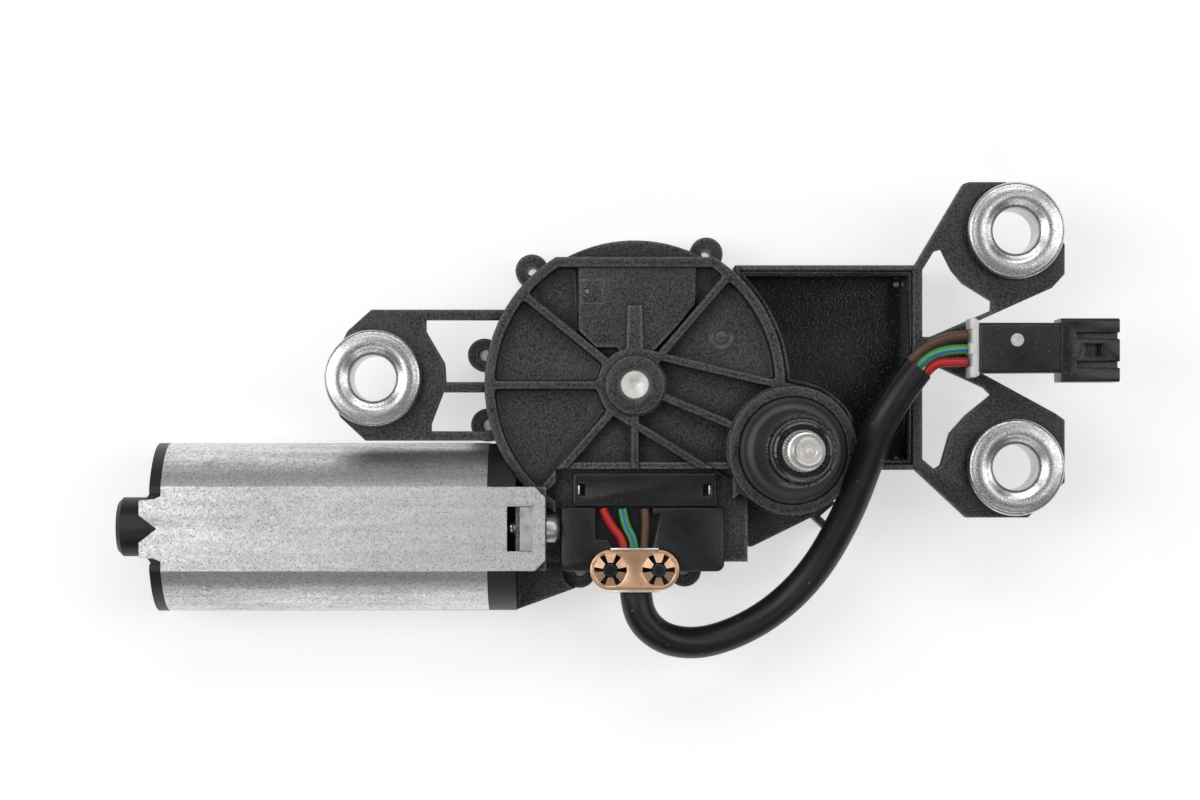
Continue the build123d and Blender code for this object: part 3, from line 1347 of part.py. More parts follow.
# Contact fingers that read the wheel's disc, springs behind the brushes, and choke coils
with BuildPart() as contact_fingers:
    with BuildSketch(Plane.XY.offset(ceiling_z - 0.6)):
        for finger_y in (13.5, 16.5, 19.5):
            with Locations((wheel_x - 6, wheel_y + finger_y)):
                Rectangle(16, 1.2)
        with Locations((wheel_x - 13, wheel_y + 16.5)):
            Rectangle(3, 7.2)
    extrude(amount=0.6)
    with BuildSketch(Plane.XY.offset(wheel_top_z + contact_disc_thickness + 0.1)):
        for finger_y in (13.5, 16.5, 19.5):
            with Locations((wheel_x + 1, wheel_y + finger_y)):
                Rectangle(2, 1.2)
    extrude(amount=ceiling_z - wheel_top_z - contact_disc_thickness - 0.1)
contact_fingers.part.label = "contact_fingers"
export_step(contact_fingers.part, "parts/contact_fingers.step")

with BuildPart() as brush_springs:
    with BuildSketch(Plane.XY.offset(axis_z - 1.2)):
        for side in (-1, 1):
            with Locations((brush_middle_x, motor_y + side * (brush_outer + 1.3))):
                Rectangle(3.4, 2.6)
    extrude(amount=2.4)
brush_springs.part.label = "brush_springs"
export_step(brush_springs.part, "parts/brush_springs.step")

with BuildPart() as choke_coils:
    with BuildSketch(Plane.YZ.offset(brush_ring_left_x + 3)):
        for side in (-1, 1):
            with Locations((motor_y + 6 * side, axis_z + 11.5)):
                Circle(2.2)
    extrude(amount=10)
choke_coils.part.label = "choke_coils"
export_step(choke_coils.part, "parts/choke_coils.step")
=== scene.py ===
"""Looks of a rear wiper motor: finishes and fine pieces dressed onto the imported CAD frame."""

import logging
import math
from dataclasses import dataclass
from enum import Enum

import bmesh
import bpy
from mathutils import Matrix, Vector

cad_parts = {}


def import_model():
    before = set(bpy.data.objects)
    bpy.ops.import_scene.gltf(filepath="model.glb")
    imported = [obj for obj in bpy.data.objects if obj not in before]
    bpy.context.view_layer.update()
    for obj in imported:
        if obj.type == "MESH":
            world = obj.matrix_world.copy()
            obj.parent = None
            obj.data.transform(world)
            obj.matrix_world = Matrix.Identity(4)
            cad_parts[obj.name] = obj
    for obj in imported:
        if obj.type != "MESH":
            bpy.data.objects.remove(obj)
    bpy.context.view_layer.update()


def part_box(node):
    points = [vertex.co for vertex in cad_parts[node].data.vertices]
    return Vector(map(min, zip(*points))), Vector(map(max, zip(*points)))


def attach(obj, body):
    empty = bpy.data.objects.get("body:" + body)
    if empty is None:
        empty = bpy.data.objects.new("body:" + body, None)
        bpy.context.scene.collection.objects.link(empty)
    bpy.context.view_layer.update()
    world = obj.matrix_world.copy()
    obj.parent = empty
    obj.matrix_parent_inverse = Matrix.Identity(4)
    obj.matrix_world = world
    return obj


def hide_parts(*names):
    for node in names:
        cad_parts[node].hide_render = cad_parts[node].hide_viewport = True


MM = 0.001
Colour = tuple[float, float, float]
Pair = tuple[float, float]
Point = tuple[float, float, float]
Area = tuple[float, float, float, float]
Outline = list[Pair]
Mesh = bmesh.types.BMesh
Verts = list[bmesh.types.BMVert]
Edges = list[bmesh.types.BMEdge]
Node = bpy.types.Node
Socket = bpy.types.NodeSocket
Thing = bpy.types.Object
log = logging.getLogger("wiper_motor")


class Effect(Enum):
    """The shared node groups that finishes are put together from."""

    GRAIN = "moulded grain"
    BLOTCH = "blotches"
    STREAK = "drawn streaks"
    SPANGLE = "zinc spangle"
    EDGES = "rounded edges"
    SPECKS = "dust specks"


class NodeSheet:
    """A shader node tree, filled one node at a time."""

    def __init__(self, tree: bpy.types.NodeTree) -> None:
        """Take the tree that the nodes go into."""
        self.tree = tree

    def node(self, kind: str, **settings: object) -> Node:
        """Add a node.

        Args:
            kind: the node's type without the ShaderNode prefix.
            settings: attributes to set on it.

        Returns:
            The new node.
        """
        made = self.tree.nodes.new(kind if kind.startswith("Node") else "ShaderNode" + kind)
        for name, value in settings.items():
            setattr(made, name, value)
        return made

    def feed(self, target: Socket, source: object) -> None:
        """Link a socket to the target, or write a plain value into it.

        Args:
            target: the input that is fed.
            source: an output socket, a number, a vector or a colour.
        """
        if isinstance(source, Socket):
            self.tree.links.new(source, target)
        elif isinstance(source, tuple) and len(source) == 3 and target.type == "RGBA":
            target.default_value = (*source, 1.0)
        else:
            target.default_value = source

    def fill(self, node: Node, sources: dict[int | str, object]) -> Node:
        """Feed several inputs of a node.

        Args:
            node: the node.
            sources: what each input is fed with, by its number or name.

        Returns:
            The same node.
        """
        for socket, source in sources.items():
            self.feed(node.inputs[socket], source)
        return node

    def math(self, operation: str, first: object, second: object = 0.0) -> Socket:
        """Combine two values by a Math node, held between 0 and 1, and return its output."""
        made = self.node("Math", operation=operation, use_clamp=True)
        return self.fill(made, {0: first, 1: second}).outputs[0]

    def weigh(self, first: object, second: object, share: float) -> Socket:
        """Add up two values, the second by its share and the first by the rest, and return the sum."""
        rest = self.math("MULTIPLY", first, 1.0 - share)
        return self.math("ADD", rest, self.math("MULTIPLY", second, share))

    def spread(self, value: object, low: float, high: float, to_low: float, to_high: float) -> Socket:
        """Map a value from one range to another and return the result."""
        sources = dict(enumerate((value, low, high, to_low, to_high)))
        return self.fill(self.node("MapRange"), sources).outputs[0]

    def blend(self, share: object, first: object, second: object) -> Socket:
        """Mix two colours by a share and return the result."""
        made = self.node("Mix", data_type="RGBA")
        return self.fill(made, {0: share, 6: first, 7: second}).outputs[2]

    def effect(self, which: Effect, **values: object) -> Node:
        """Place a shared group with its own values and return the group node."""
        made = self.node("Group", node_tree=bpy.data.node_groups[which.value])
        return self.fill(made, values)


class EffectShelf:
    """Builds the shared node groups, each once."""

    # Output, whether it looks into the solid, reach in radii, openness where it starts and where it is full.
    # The first output marks outer edges, where a painted highlight goes; the second marks inner corners,
    # where painted shade goes.
    OCCLUSIONS = (("Mask", True, 1.6, 0.9, 0.6), ("Painted Shade", False, 7.0, 0.92, 0.5))

    def build(self) -> None:
        """Make every group of the Effect list."""
        self._grain()
        self._blotch()
        self._streak()
        self._spangle()
        self._edges()
        self._specks()

    def _start(self, which: Effect, inputs: dict[str, object],
               outputs: dict[str, str]) -> tuple[NodeSheet, Node, Node, Socket]:
        """Open a group.

        Args:
            which: the effect that the group is.
            inputs: each input's name and default, a number or a vector.
            outputs: each output's name and socket type.

        Returns:
            The sheet, the input node, the output node and the object coordinates.
        """
        tree = bpy.data.node_groups.new(which.value, "ShaderNodeTree")
        for name, default in inputs.items():
            kind = "NodeSocketVector" if isinstance(default, tuple) else "NodeSocketFloat"
            tree.interface.new_socket(name, in_out="INPUT", socket_type=kind).default_value = default
        for name, kind in outputs.items():
            tree.interface.new_socket(name, in_out="OUTPUT", socket_type="NodeSocket" + kind)
        sheet = NodeSheet(tree)
        place = sheet.node("TexCoord").outputs["Object"]
        return sheet, sheet.node("NodeGroupInput"), sheet.node("NodeGroupOutput"), place

    def _tone(self, sheet: NodeSheet, cells: Node) -> Socket:
        """Return one value between 0 and 1 for each cell of a Voronoi texture."""
        return sheet.fill(sheet.node("SeparateColor"), {0: cells.outputs["Color"]}).outputs[0]

    def _grain(self) -> None:
        """Fine lumps of a powder coat or an eroded mould."""
        sheet, given, out, place = self._start(Effect.GRAIN, {"Scale": 1500.0}, {"Height": "Float"})
        pattern = {"Vector": place, "Scale": given.outputs["Scale"]}
        fine = sheet.fill(sheet.node("TexNoise"), {**pattern, "Detail": 3.0})
        cells = sheet.fill(sheet.node("TexVoronoi", feature="SMOOTH_F1"), pattern)
        pits = sheet.math("MULTIPLY", cells.outputs["Distance"], 0.6)
        sheet.feed(out.inputs["Height"], sheet.math("SUBTRACT", fine.outputs[0], pits))

    def _blotch(self) -> None:
        """Broad uneven patches."""
        sheet, given, out, place = self._start(Effect.BLOTCH, {"Scale": 60.0}, {"Mask": "Float"})
        pattern = {"Vector": place, "Scale": given.outputs["Scale"], "Detail": 5.0, "Roughness": 0.62}
        patches = sheet.fill(sheet.node("TexNoise"), pattern)
        sheet.feed(out.inputs["Mask"], sheet.spread(patches.outputs[0], 0.32, 0.68, 0.0, 1.0))

    def _streak(self) -> None:
        """Lines drawn out along one direction."""
        sheet, given, out, place = self._start(
            Effect.STREAK, {"Stretch": (40.0, 900.0, 900.0)}, {"Mask": "Float"})
        drawn = sheet.node("VectorMath", operation="MULTIPLY")
        sheet.fill(drawn, {0: place, 1: given.outputs["Stretch"]})
        lines = sheet.fill(sheet.node("TexNoise"), {"Vector": drawn.outputs[0], "Scale": 1.0, "Detail": 4.0})
        sheet.feed(out.inputs["Mask"], sheet.spread(lines.outputs[0], 0.35, 0.65, 0.0, 1.0))

    def _spangle(self) -> None:
        """Crystals of a zinc coat, each with its own tone."""
        sheet, given, out, place = self._start(
            Effect.SPANGLE, {"Scale": 700.0}, {"Tone": "Float", "Height": "Float"})
        crystals = sheet.node("TexVoronoi", feature="F1")
        sheet.fill(crystals, {"Vector": place, "Scale": given.outputs["Scale"]})
        sheet.fill(out, {"Tone": self._tone(sheet, crystals), "Height": crystals.outputs["Distance"]})

    def _edges(self) -> None:
        """Rounds sharp edges in the shading, and marks outer edges for a painted highlight and inner corners
        for painted shade.
        """
        sheet, given, out, _ = self._start(
            Effect.EDGES, {"Radius": 0.0004}, {"Normal": "Vector", "Mask": "Float", "Painted Shade": "Float"})
        radius = given.outputs["Radius"]
        rounded = sheet.fill(sheet.node("Bevel", samples=4), {"Radius": radius})
        sheet.feed(out.inputs["Normal"], rounded.outputs[0])
        for output, inside, reach, starts, full in self.OCCLUSIONS:
            hidden = sheet.node("AmbientOcclusion", samples=6, inside=inside, only_local=True)
            sheet.feed(hidden.inputs["Distance"], sheet.math("MULTIPLY", radius, reach))
            sheet.feed(out.inputs[output], sheet.spread(hidden.outputs["AO"], starts, full, 0.0, 1.0))

    def _specks(self) -> None:
        """Sparse small dots of dust with soft edges, in a share of the cells."""
        sheet, given, out, place = self._start(
            Effect.SPECKS, {"Scale": 500.0, "Share": 0.1}, {"Mask": "Float"})
        dots = sheet.node("TexVoronoi", feature="F1")
        sheet.fill(dots, {"Vector": place, "Scale": given.outputs["Scale"]})
        chosen = sheet.math("LESS_THAN", self._tone(sheet, dots), given.outputs["Share"])
        core, fringe = 0.16, 0.30
        near = sheet.spread(dots.outputs["Distance"], core, fringe, 1.0, 0.0)
        sheet.feed(out.inputs["Mask"], sheet.math("MULTIPLY", chosen, near))


@dataclass(frozen=True)
class Finish:
    """One material: two colours, gloss and the effects laid over them.

    Patterns are scaled per metre, and colours are linear.
    """

    name: str
    base: Colour
    second: Colour
    gloss: Pair = (0.4, 0.55)
    metallic: float = 0.0
    specular: float = 0.5
    blotch: float = 60.0
    grain: float = 1500.0
    grain_tint: float = 0.0
    relief: float = 0.25
    relief_depth: float = 0.12 * MM
    edge_radius: float = 0.3 * MM
    # Outer edges are painted in this pale colour as a highlight, by this share, in patches.
    worn: Colour | None = None
    worn_share: float = 0.5
    # Inner corners are painted towards this near-black colour as shade, by this share.
    crevice: float = 0.0
    crevice_colour: Colour = (0.003, 0.003, 0.0032)
    streak: Point | None = None
    spangle: float = 0.0
    specks: float = 0.0
    speck_scale: float = 500.0
    speck_colour: Colour = (0.32, 0.32, 0.31)
    coat: float = 0.0

    def build(self) -> bpy.types.Material:
        """Return the material, made on the first call."""
        known = bpy.data.materials.get(self.name)
        if known:
            return known
        material = bpy.data.materials.new(self.name)
        material.use_nodes = True
        sheet = NodeSheet(material.node_tree)
        shader = material.node_tree.nodes["Principled BSDF"]
        edges = sheet.effect(Effect.EDGES, Radius=self.edge_radius)
        mask, grain = self._patterns(sheet)
        colour = sheet.blend(mask, self.base, self.second)
        rough = sheet.spread(mask, 0.0, 1.0, *self.gloss)
        # Painted highlight: outer edges turn towards the pale edge colour, in patches.
        if self.worn:
            uneven = sheet.spread(mask, 0.2, 0.8, 0.4, 1.0)
            lit_edges = sheet.math("MULTIPLY", edges.outputs["Mask"], self.worn_share)
            colour = sheet.blend(sheet.math("MULTIPLY", lit_edges, uneven), colour, self.worn)
        # Painted shade: inner corners darken towards near-black.
        if self.crevice:
            painted_shade = sheet.math("MULTIPLY", edges.outputs["Painted Shade"], self.crevice)
            colour = sheet.blend(painted_shade, colour, self.crevice_colour)
        if self.specks:
            dots = sheet.effect(Effect.SPECKS, Scale=self.speck_scale, Share=self.specks).outputs["Mask"]
            colour = sheet.blend(dots, colour, self.speck_colour)
            rough = sheet.math("MAXIMUM", rough, sheet.math("MULTIPLY", dots, 0.8))
        bump = sheet.fill(sheet.node("Bump"), {"Strength": self.relief, "Distance": self.relief_depth,
                                               "Height": grain, "Normal": edges.outputs["Normal"]})
        sheet.fill(shader, {"Base Color": colour, "Roughness": rough, "Normal": bump.outputs[0],
                            "Metallic": self.metallic, "Specular IOR Level": self.specular,
                            "Coat Weight": self.coat})
        return material

    def _patterns(self, sheet: NodeSheet) -> tuple[Socket, Socket]:
        """Lay the finish's patterns over each other.

        Args:
            sheet: the material's node sheet.

        Returns:
            The mask between the two colours, and the height of the surface.
        """
        mask = sheet.effect(Effect.BLOTCH, Scale=self.blotch).outputs["Mask"]
        grain = sheet.effect(Effect.GRAIN, Scale=self.grain).outputs["Height"]
        if self.streak:
            lines = sheet.effect(Effect.STREAK, Stretch=self.streak).outputs["Mask"]
            mask, grain = sheet.weigh(mask, lines, 0.55), sheet.weigh(grain, lines, 0.5)
        if self.spangle:
            tone = sheet.effect(Effect.SPANGLE, Scale=self.spangle).outputs["Tone"]
            mask, grain = sheet.weigh(mask, tone, 0.5), sheet.weigh(grain, tone, 0.5)
        if self.grain_tint:
            mask = sheet.weigh(mask, sheet.spread(grain, 0.1, 0.42, 0.0, 1.0), self.grain_tint)
        return mask, grain


def metal(name: str, base: Colour, second: Colour, **more: object) -> Finish:
    """Return a bare or plated metal finish with the given extras."""
    usual = {"gloss": (0.26, 0.42), "relief": 0.12, "edge_radius": 0.15 * MM, "metallic": 1.0}
    return Finish(name, base, second, **{**usual, **more})


def moulding(name: str, base: Colour, second: Colour, **more: object) -> Finish:
    """Return a moulded plastic or rubber finish with the given extras."""
    usual = {"edge_radius": 0.2 * MM, "grain": 2600.0}
    return Finish(name, base, second, **{**usual, **more})


# Its pale edge colour is a painted highlight on the ribs and rims, and its crevice share paints shade into
# inner corners.
POWDER_COAT = Finish("powder coated casting", (0.007, 0.0072, 0.0078), (0.068, 0.069, 0.071),
                     gloss=(0.28, 0.42), specular=0.4, blotch=90.0, grain=2000.0, grain_tint=0.85, relief=1.0,
                     edge_radius=0.6 * MM, worn=(0.26, 0.26, 0.265), worn_share=0.75, crevice=0.8, specks=0.3,
                     speck_scale=1500.0, speck_colour=(0.11, 0.11, 0.112))
BARE_DISC = Finish("bare cast disc", (0.09, 0.09, 0.092), (0.05, 0.05, 0.052), gloss=(0.3, 0.45),
                   grain=2400.0)
# Its lengthwise streaks are partly painted reflection bands and partly passivation streaks in the zinc.
CAN_ZINC = metal("zinc plated can", (0.985, 0.99, 1.0), (0.40, 0.41, 0.43), gloss=(0.32, 0.5), blotch=45.0,
                 streak=(26.0, 420.0, 420.0), spangle=2200.0, relief=0.8, grain=2400.0, specks=0.4,
                 speck_scale=1500.0, speck_colour=(0.17, 0.175, 0.18))
SLEEVE_ZINC = metal("zinc plated sleeve", (0.74, 0.75, 0.745), (0.40, 0.41, 0.42), gloss=(0.2, 0.36),
                    blotch=160.0, spangle=2400.0, relief=0.3, grain=2400.0)
NUT_ZINC = metal("pale nut", (0.84, 0.85, 0.80), (0.62, 0.64, 0.60), blotch=300.0)
SCREW_STEEL = metal("screw steel", (0.72, 0.72, 0.72), (0.45, 0.45, 0.46), blotch=300.0)
TURNED_STEEL = metal("turned steel", (0.80, 0.78, 0.75), (0.50, 0.48, 0.45), blotch=260.0, relief=0.1)
# Its pale edge colour is a painted highlight on the shaft's edges.
SHAFT_STEEL = metal("shaft steel", (0.95, 0.93, 0.91), (0.74, 0.72, 0.69), gloss=(0.3, 0.46), blotch=240.0,
                    worn=(0.9, 0.88, 0.85), worn_share=0.6)
PIN_STEEL = metal("ground pin end", (0.84, 0.83, 0.80), (0.66, 0.65, 0.63), gloss=(0.5, 0.6), blotch=420.0)
GROUND_STEEL = metal("ground steel", (0.74, 0.74, 0.74), (0.60, 0.60, 0.61), gloss=(0.15, 0.25), relief=0.05)
STAMPED_STEEL = metal("stamped steel", (0.60, 0.61, 0.62), (0.42, 0.43, 0.44), blotch=200.0)
SPRING_STEEL = metal("spring steel", (0.48, 0.49, 0.51), (0.34, 0.35, 0.37), blotch=300.0)
LAMINATIONS = metal("stacked laminations", (0.34, 0.35, 0.36), (0.20, 0.21, 0.22), gloss=(0.4, 0.55),
                    streak=(2600.0, 30.0, 30.0), relief=0.5)
# Its pale edge colour is a painted highlight on the plate's edges and teeth.
COPPER_STEEL = metal("copper coloured clamp", (0.74, 0.455, 0.285), (0.52, 0.31, 0.19), gloss=(0.34, 0.46),
                     blotch=220.0, worn=(0.92, 0.70, 0.54), worn_share=0.7)
CUT_STEEL = metal("bare cut edge", (0.90, 0.86, 0.78), (0.66, 0.60, 0.52), gloss=(0.3, 0.42), blotch=320.0)
COPPER_WIRE = metal("enamelled copper wire", (0.72, 0.34, 0.16), (0.52, 0.20, 0.09), gloss=(0.25, 0.35),
                    streak=(60.0, 2600.0, 2600.0), relief=0.5)
BRONZE = metal("sintered bronze", (0.48, 0.32, 0.17), (0.34, 0.22, 0.12), gloss=(0.42, 0.6), grain=3000.0,
               relief=0.4)
GEAR_PLASTIC = moulding("pale gear plastic", (0.76, 0.75, 0.69), (0.66, 0.65, 0.59), gloss=(0.35, 0.5))
CAP_PLASTIC = moulding("black cap plastic", (0.012, 0.012, 0.013), (0.022, 0.022, 0.023), gloss=(0.34, 0.5),
                       specular=0.4, relief=0.35)
# Its pale edge colour is a painted highlight, and its crevice share paints shade into inner corners.
BOX_PLASTIC = moulding("smooth black plastic", (0.009, 0.009, 0.0095), (0.018, 0.018, 0.019),
                       gloss=(0.22, 0.34), specular=0.4, relief=0.3, edge_radius=0.35 * MM,
                       worn=(0.12, 0.12, 0.12), worn_share=0.6, crevice=0.6, specks=0.06,
                       speck_scale=1900.0, speck_colour=(0.10, 0.10, 0.10))
TRAY_PLASTIC = moulding("glossy tray plastic", (0.006, 0.006, 0.0065), (0.014, 0.014, 0.015),
                        gloss=(0.12, 0.26), specular=0.45, relief=0.5, grain=1900.0, specks=0.3,
                        speck_scale=1700.0, speck_colour=(0.12, 0.12, 0.12))
# Its pale edge colour is a painted highlight, and its crevice share paints shade into inner corners.
PLUG_PLASTIC = moulding("connector plastic", (0.010, 0.010, 0.011), (0.026, 0.026, 0.028),
                        gloss=(0.24, 0.36), specular=0.42, relief=0.4, worn=(0.12, 0.12, 0.12),
                        crevice=0.6, specks=0.1, speck_scale=1700.0, speck_colour=(0.14, 0.14, 0.14))
RUBBER = moulding("black rubber", (0.034, 0.034, 0.035), (0.062, 0.062, 0.063), gloss=(0.34, 0.5),
                  relief=0.4, specks=0.08, speck_scale=1500.0, speck_colour=(0.12, 0.12, 0.12))
GREASED_RUBBER = moulding("greased rubber", (0.006, 0.006, 0.006), (0.014, 0.014, 0.013), gloss=(0.08, 0.28),
                          relief=1.0, grain=1100.0, coat=0.4)
SHEATH = moulding("black sheath", (0.008, 0.008, 0.009), (0.015, 0.015, 0.016), gloss=(0.32, 0.46),
                  specular=0.4, relief=0.3, grain=900.0, specks=0.03, speck_scale=900.0,
                  speck_colour=(0.12, 0.11, 0.1))
INSULATION = {
    "red": moulding("red insulation", (0.55, 0.018, 0.02), (0.40, 0.012, 0.014), gloss=(0.3, 0.42)),
    "green": moulding("green insulation", (0.10, 0.42, 0.10), (0.06, 0.30, 0.07), gloss=(0.3, 0.42)),
    "brown": moulding("brown insulation", (0.12, 0.055, 0.03), (0.08, 0.035, 0.02), gloss=(0.3, 0.42)),
}
BLUE_MARK = moulding("blue stripe", (0.03, 0.12, 0.5), (0.02, 0.08, 0.36), gloss=(0.3, 0.42))
SEAL_WHITE = moulding("white seal", (0.80, 0.80, 0.79), (0.70, 0.70, 0.69), gloss=(0.4, 0.55))
PAINT_DOT = moulding("white paint dot", (0.78, 0.78, 0.77), (0.45, 0.45, 0.45), gloss=(0.5, 0.7),
                     blotch=900.0, relief=0.6)
FERRITE = moulding("ferrite magnet", (0.07, 0.07, 0.075), (0.045, 0.045, 0.05), gloss=(0.5, 0.7), relief=0.6)
CARBON = moulding("carbon brush", (0.05, 0.05, 0.05), (0.03, 0.03, 0.03), gloss=(0.45, 0.6))
BOARD = moulding("green board", (0.02, 0.13, 0.05), (0.015, 0.09, 0.035), gloss=(0.25, 0.35))


@dataclass(frozen=True)
class Rounding:
    """Which sharp edges are rounded, and how: lengths in millimetres, angles in degrees.

    Attributes:
        radius: the radius of the rounding.
        segments: how many strips it is made of.
        low: the lowest height of an edge.
        high: the highest height of an edge.
        concave: whether it takes inner corners, and not outer ones.
        upright: whether it takes only edges that stand up.
        steep: the least angle between the edge's two faces.
        folded: the angle between them from which an edge stays sharp.
        from_y: the lowest y of an edge.
        roomy: the least area of its larger face, in square millimetres.
        away: the least distance of its ends from the output shaft's axis.
        spared: areas whose edges stay sharp.
        within: the area that the edges lie in.
    """

    radius: float
    segments: int
    low: float
    high: float
    concave: bool = False
    upright: bool = False
    steep: float = 40.0
    folded: float = 128.0
    from_y: float = -1000.0
    roomy: float = 0.0
    away: float = 0.0
    spared: tuple[Area, ...] = ()
    within: Area = (-1000.0, -1000.0, 1000.0, 1000.0)

    @classmethod
    def at_level(cls, radius: float, segments: int, level: float, **choice: object) -> "Rounding":
        """Return the rounding of the edges that lie at one height."""
        nearness = 0.05
        return cls(radius, segments, level - nearness, level + nearness, **choice)

    def apply(self, bm: Mesh) -> None:
        """Round those edges of a mesh."""
        Smith.round_off(bm, [edge for edge in bm.edges if self._takes(edge)], self.radius, self.segments)

    def _takes(self, edge: bmesh.types.BMEdge) -> bool:
        """Tell whether an edge is one of those.

        Args:
            edge: an edge of the mesh.

        Returns:
            Whether it is rounded.
        """
        if not edge.is_manifold or edge.is_convex == self.concave:
            return False
        first, second = ends = [v.co / MM for v in edge.verts]
        if min(first.z, second.z) < self.low or max(first.z, second.z) > self.high:
            return False
        if self.upright and abs(first.z - second.z) < 0.9 * (first - second).length:
            return False
        if min(first.y, second.y) < self.from_y or min(first.xy.length, second.xy.length) < self.away:
            return False
        if any(self._lies_in(area, end) for area in self.spared for end in ends):
            return False
        if not all(self._lies_in(self.within, end) for end in ends):
            return False
        if max(face.calc_area() for face in edge.link_faces) < self.roomy * MM * MM:
            return False
        return math.radians(self.steep) < edge.calc_face_angle(0.0) < math.radians(self.folded)

    @staticmethod
    def _lies_in(area: Area, place: Vector) -> bool:
        """Tell whether a place in millimetres lies over an area."""
        return area[0] < place.x < area[2] and area[1] < place.y < area[3]


class Smith:
    """Turns bmeshes into finished pieces of the frame."""

    @staticmethod
    def piece(bm: Mesh, name: str, finish: Finish, slot: str, body: str,
              replaces: tuple[str, ...] = (), sharp: float = 38.0) -> Thing:
        """Make an object of the mesh and let it ride.

        Args:
            bm: the mesh, in metres in the row frame; it is freed.
            name: the piece's name.
            finish: its material.
            slot: not used.
            body: the CAD body that it moves with.
            replaces: CAD nodes that it stands for.
            sharp: edges steeper than this many degrees stay sharp.

        Returns:
            The object.
        """
        bmesh.ops.remove_doubles(bm, verts=bm.verts, dist=1e-7)
        bmesh.ops.recalc_face_normals(bm, faces=bm.faces)
        for face in bm.faces:
            face.smooth = True
        for edge in bm.edges:
            edge.smooth = len(edge.link_faces) == 2 and edge.calc_face_angle(0.0) < math.radians(sharp)
        mesh = bpy.data.meshes.new(name)
        bm.to_mesh(mesh)
        bm.free()
        return Smith.fit(bpy.data.objects.new(name, mesh), finish, slot, body, replaces)

    @staticmethod
    def fit(made: Thing, finish: Finish, slot: str, body: str, replaces: tuple[str, ...] = ()) -> Thing:
        """Give an object its finish and its place in the frame.

        Args:
            made: the object, a mesh or a curve.
            finish: its material.
            slot: not used.
            body: the CAD body that it moves with.
            replaces: CAD nodes that it stands for.

        Returns:
            The same object.
        """
        bpy.context.scene.collection.objects.link(made)
        made.data.materials.append(finish.build())
        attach(made, body)
        if replaces:
            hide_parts(*replaces)
        log.info("made %s", made.name)
        return made

    @staticmethod
    def rounded(node: str, ending: str, finish: Finish, slot: str, *roundings: Rounding,
                sharp: float = 38.0) -> Thing:
        """Make a copy of a CAD node with rounded edges, which stands for it.

        Args:
            node: the CAD node.
            ending: what the piece's name has after the node's.
            finish: its material.
            slot: not used.
            roundings: the roundings, made one after the other.
            sharp: edges steeper than this many degrees stay sharp.

        Returns:
            The object.
        """
        bm = bmesh.new()
        bm.from_mesh(bpy.data.objects[node].data)
        bmesh.ops.remove_doubles(bm, verts=bm.verts, dist=2e-6)
        bmesh.ops.dissolve_limit(bm, angle_limit=math.radians(1.0), verts=bm.verts, edges=bm.edges)
        for rounding in roundings:
            rounding.apply(bm)
        return Smith.piece(bm, f"{node}_{ending}", finish, slot, "root", (node,), sharp=sharp)

    @staticmethod
    def move(bm: Mesh, verts: Verts, by: Point) -> None:
        """Move vertices by a way in millimetres."""
        bmesh.ops.translate(bm, verts=verts, vec=Vector(by) * MM)

    @staticmethod
    def edges_of(verts: Verts) -> Edges:
        """Return the edges that meet at some vertices, each once."""
        return list(dict.fromkeys(edge for v in verts for edge in v.link_edges))

    @staticmethod
    def line(bm: Mesh, outline: Outline) -> tuple[Verts, Edges]:
        """Draw an outline of (radius, height) points in millimetres, and return its points and edges."""
        points = [bm.verts.new((radius * MM, 0.0, height * MM)) for radius, height in outline]
        return points, [bm.edges.new(pair) for pair in zip(points, points[1:])]

    @staticmethod
    def turn(bm: Mesh, outline: Outline, steps: int = 96, closed: bool = False,
             place: Point = (0.0, 0.0, 0.0)) -> Verts:
        """Spin an outline of (radius, height) points in millimetres round the vertical.

        Args:
            bm: the mesh to add to.
            outline: the points, from one end to the other.
            steps: how many steps the full turn has.
            closed: whether the last point joins the first.
            place: where the turning axis stands, in millimetres.

        Returns:
            The new vertices.
        """
        before = set(bm.verts)
        points, edges = Smith.line(bm, outline)
        if closed:
            edges.append(bm.edges.new((points[-1], points[0])))
        bmesh.ops.spin(bm, geom=points + edges, cent=(0, 0, 0), axis=(0, 0, 1), angle=2 * math.pi,
                       steps=steps, use_merge=True, use_duplicate=False)
        bmesh.ops.remove_doubles(bm, verts=[v for v in bm.verts if v not in before], dist=1e-7)
        added = [v for v in bm.verts if v not in before]
        Smith.move(bm, added, place)
        return added

    @staticmethod
    def thread(bm: Mesh, core: float, crest: float, pitch: float, turns: float, start: float) -> Verts:
        """Wind a V thread round the vertical, in millimetres.

        Args:
            bm: the mesh to add to.
            core: the radius at the groove.
            crest: the radius at the crest.
            pitch: the rise of one turn.
            turns: how many turns it has.
            start: the height at which it starts.

        Returns:
            The new vertices.
        """
        before = set(bm.verts)
        steps_a_turn = 28
        points, edges = Smith.line(bm, [(core, start), (crest, start + pitch * 0.42),
                                        (crest, start + pitch * 0.58), (core, start + pitch)])
        bmesh.ops.spin(bm, geom=points + edges, cent=(0, 0, 0), axis=(0, 0, 1),
                       angle=2 * math.pi * turns, steps=round(steps_a_turn * turns),
                       dvec=(0, 0, pitch * MM / steps_a_turn), use_duplicate=False)
        return [v for v in bm.verts if v not in before]

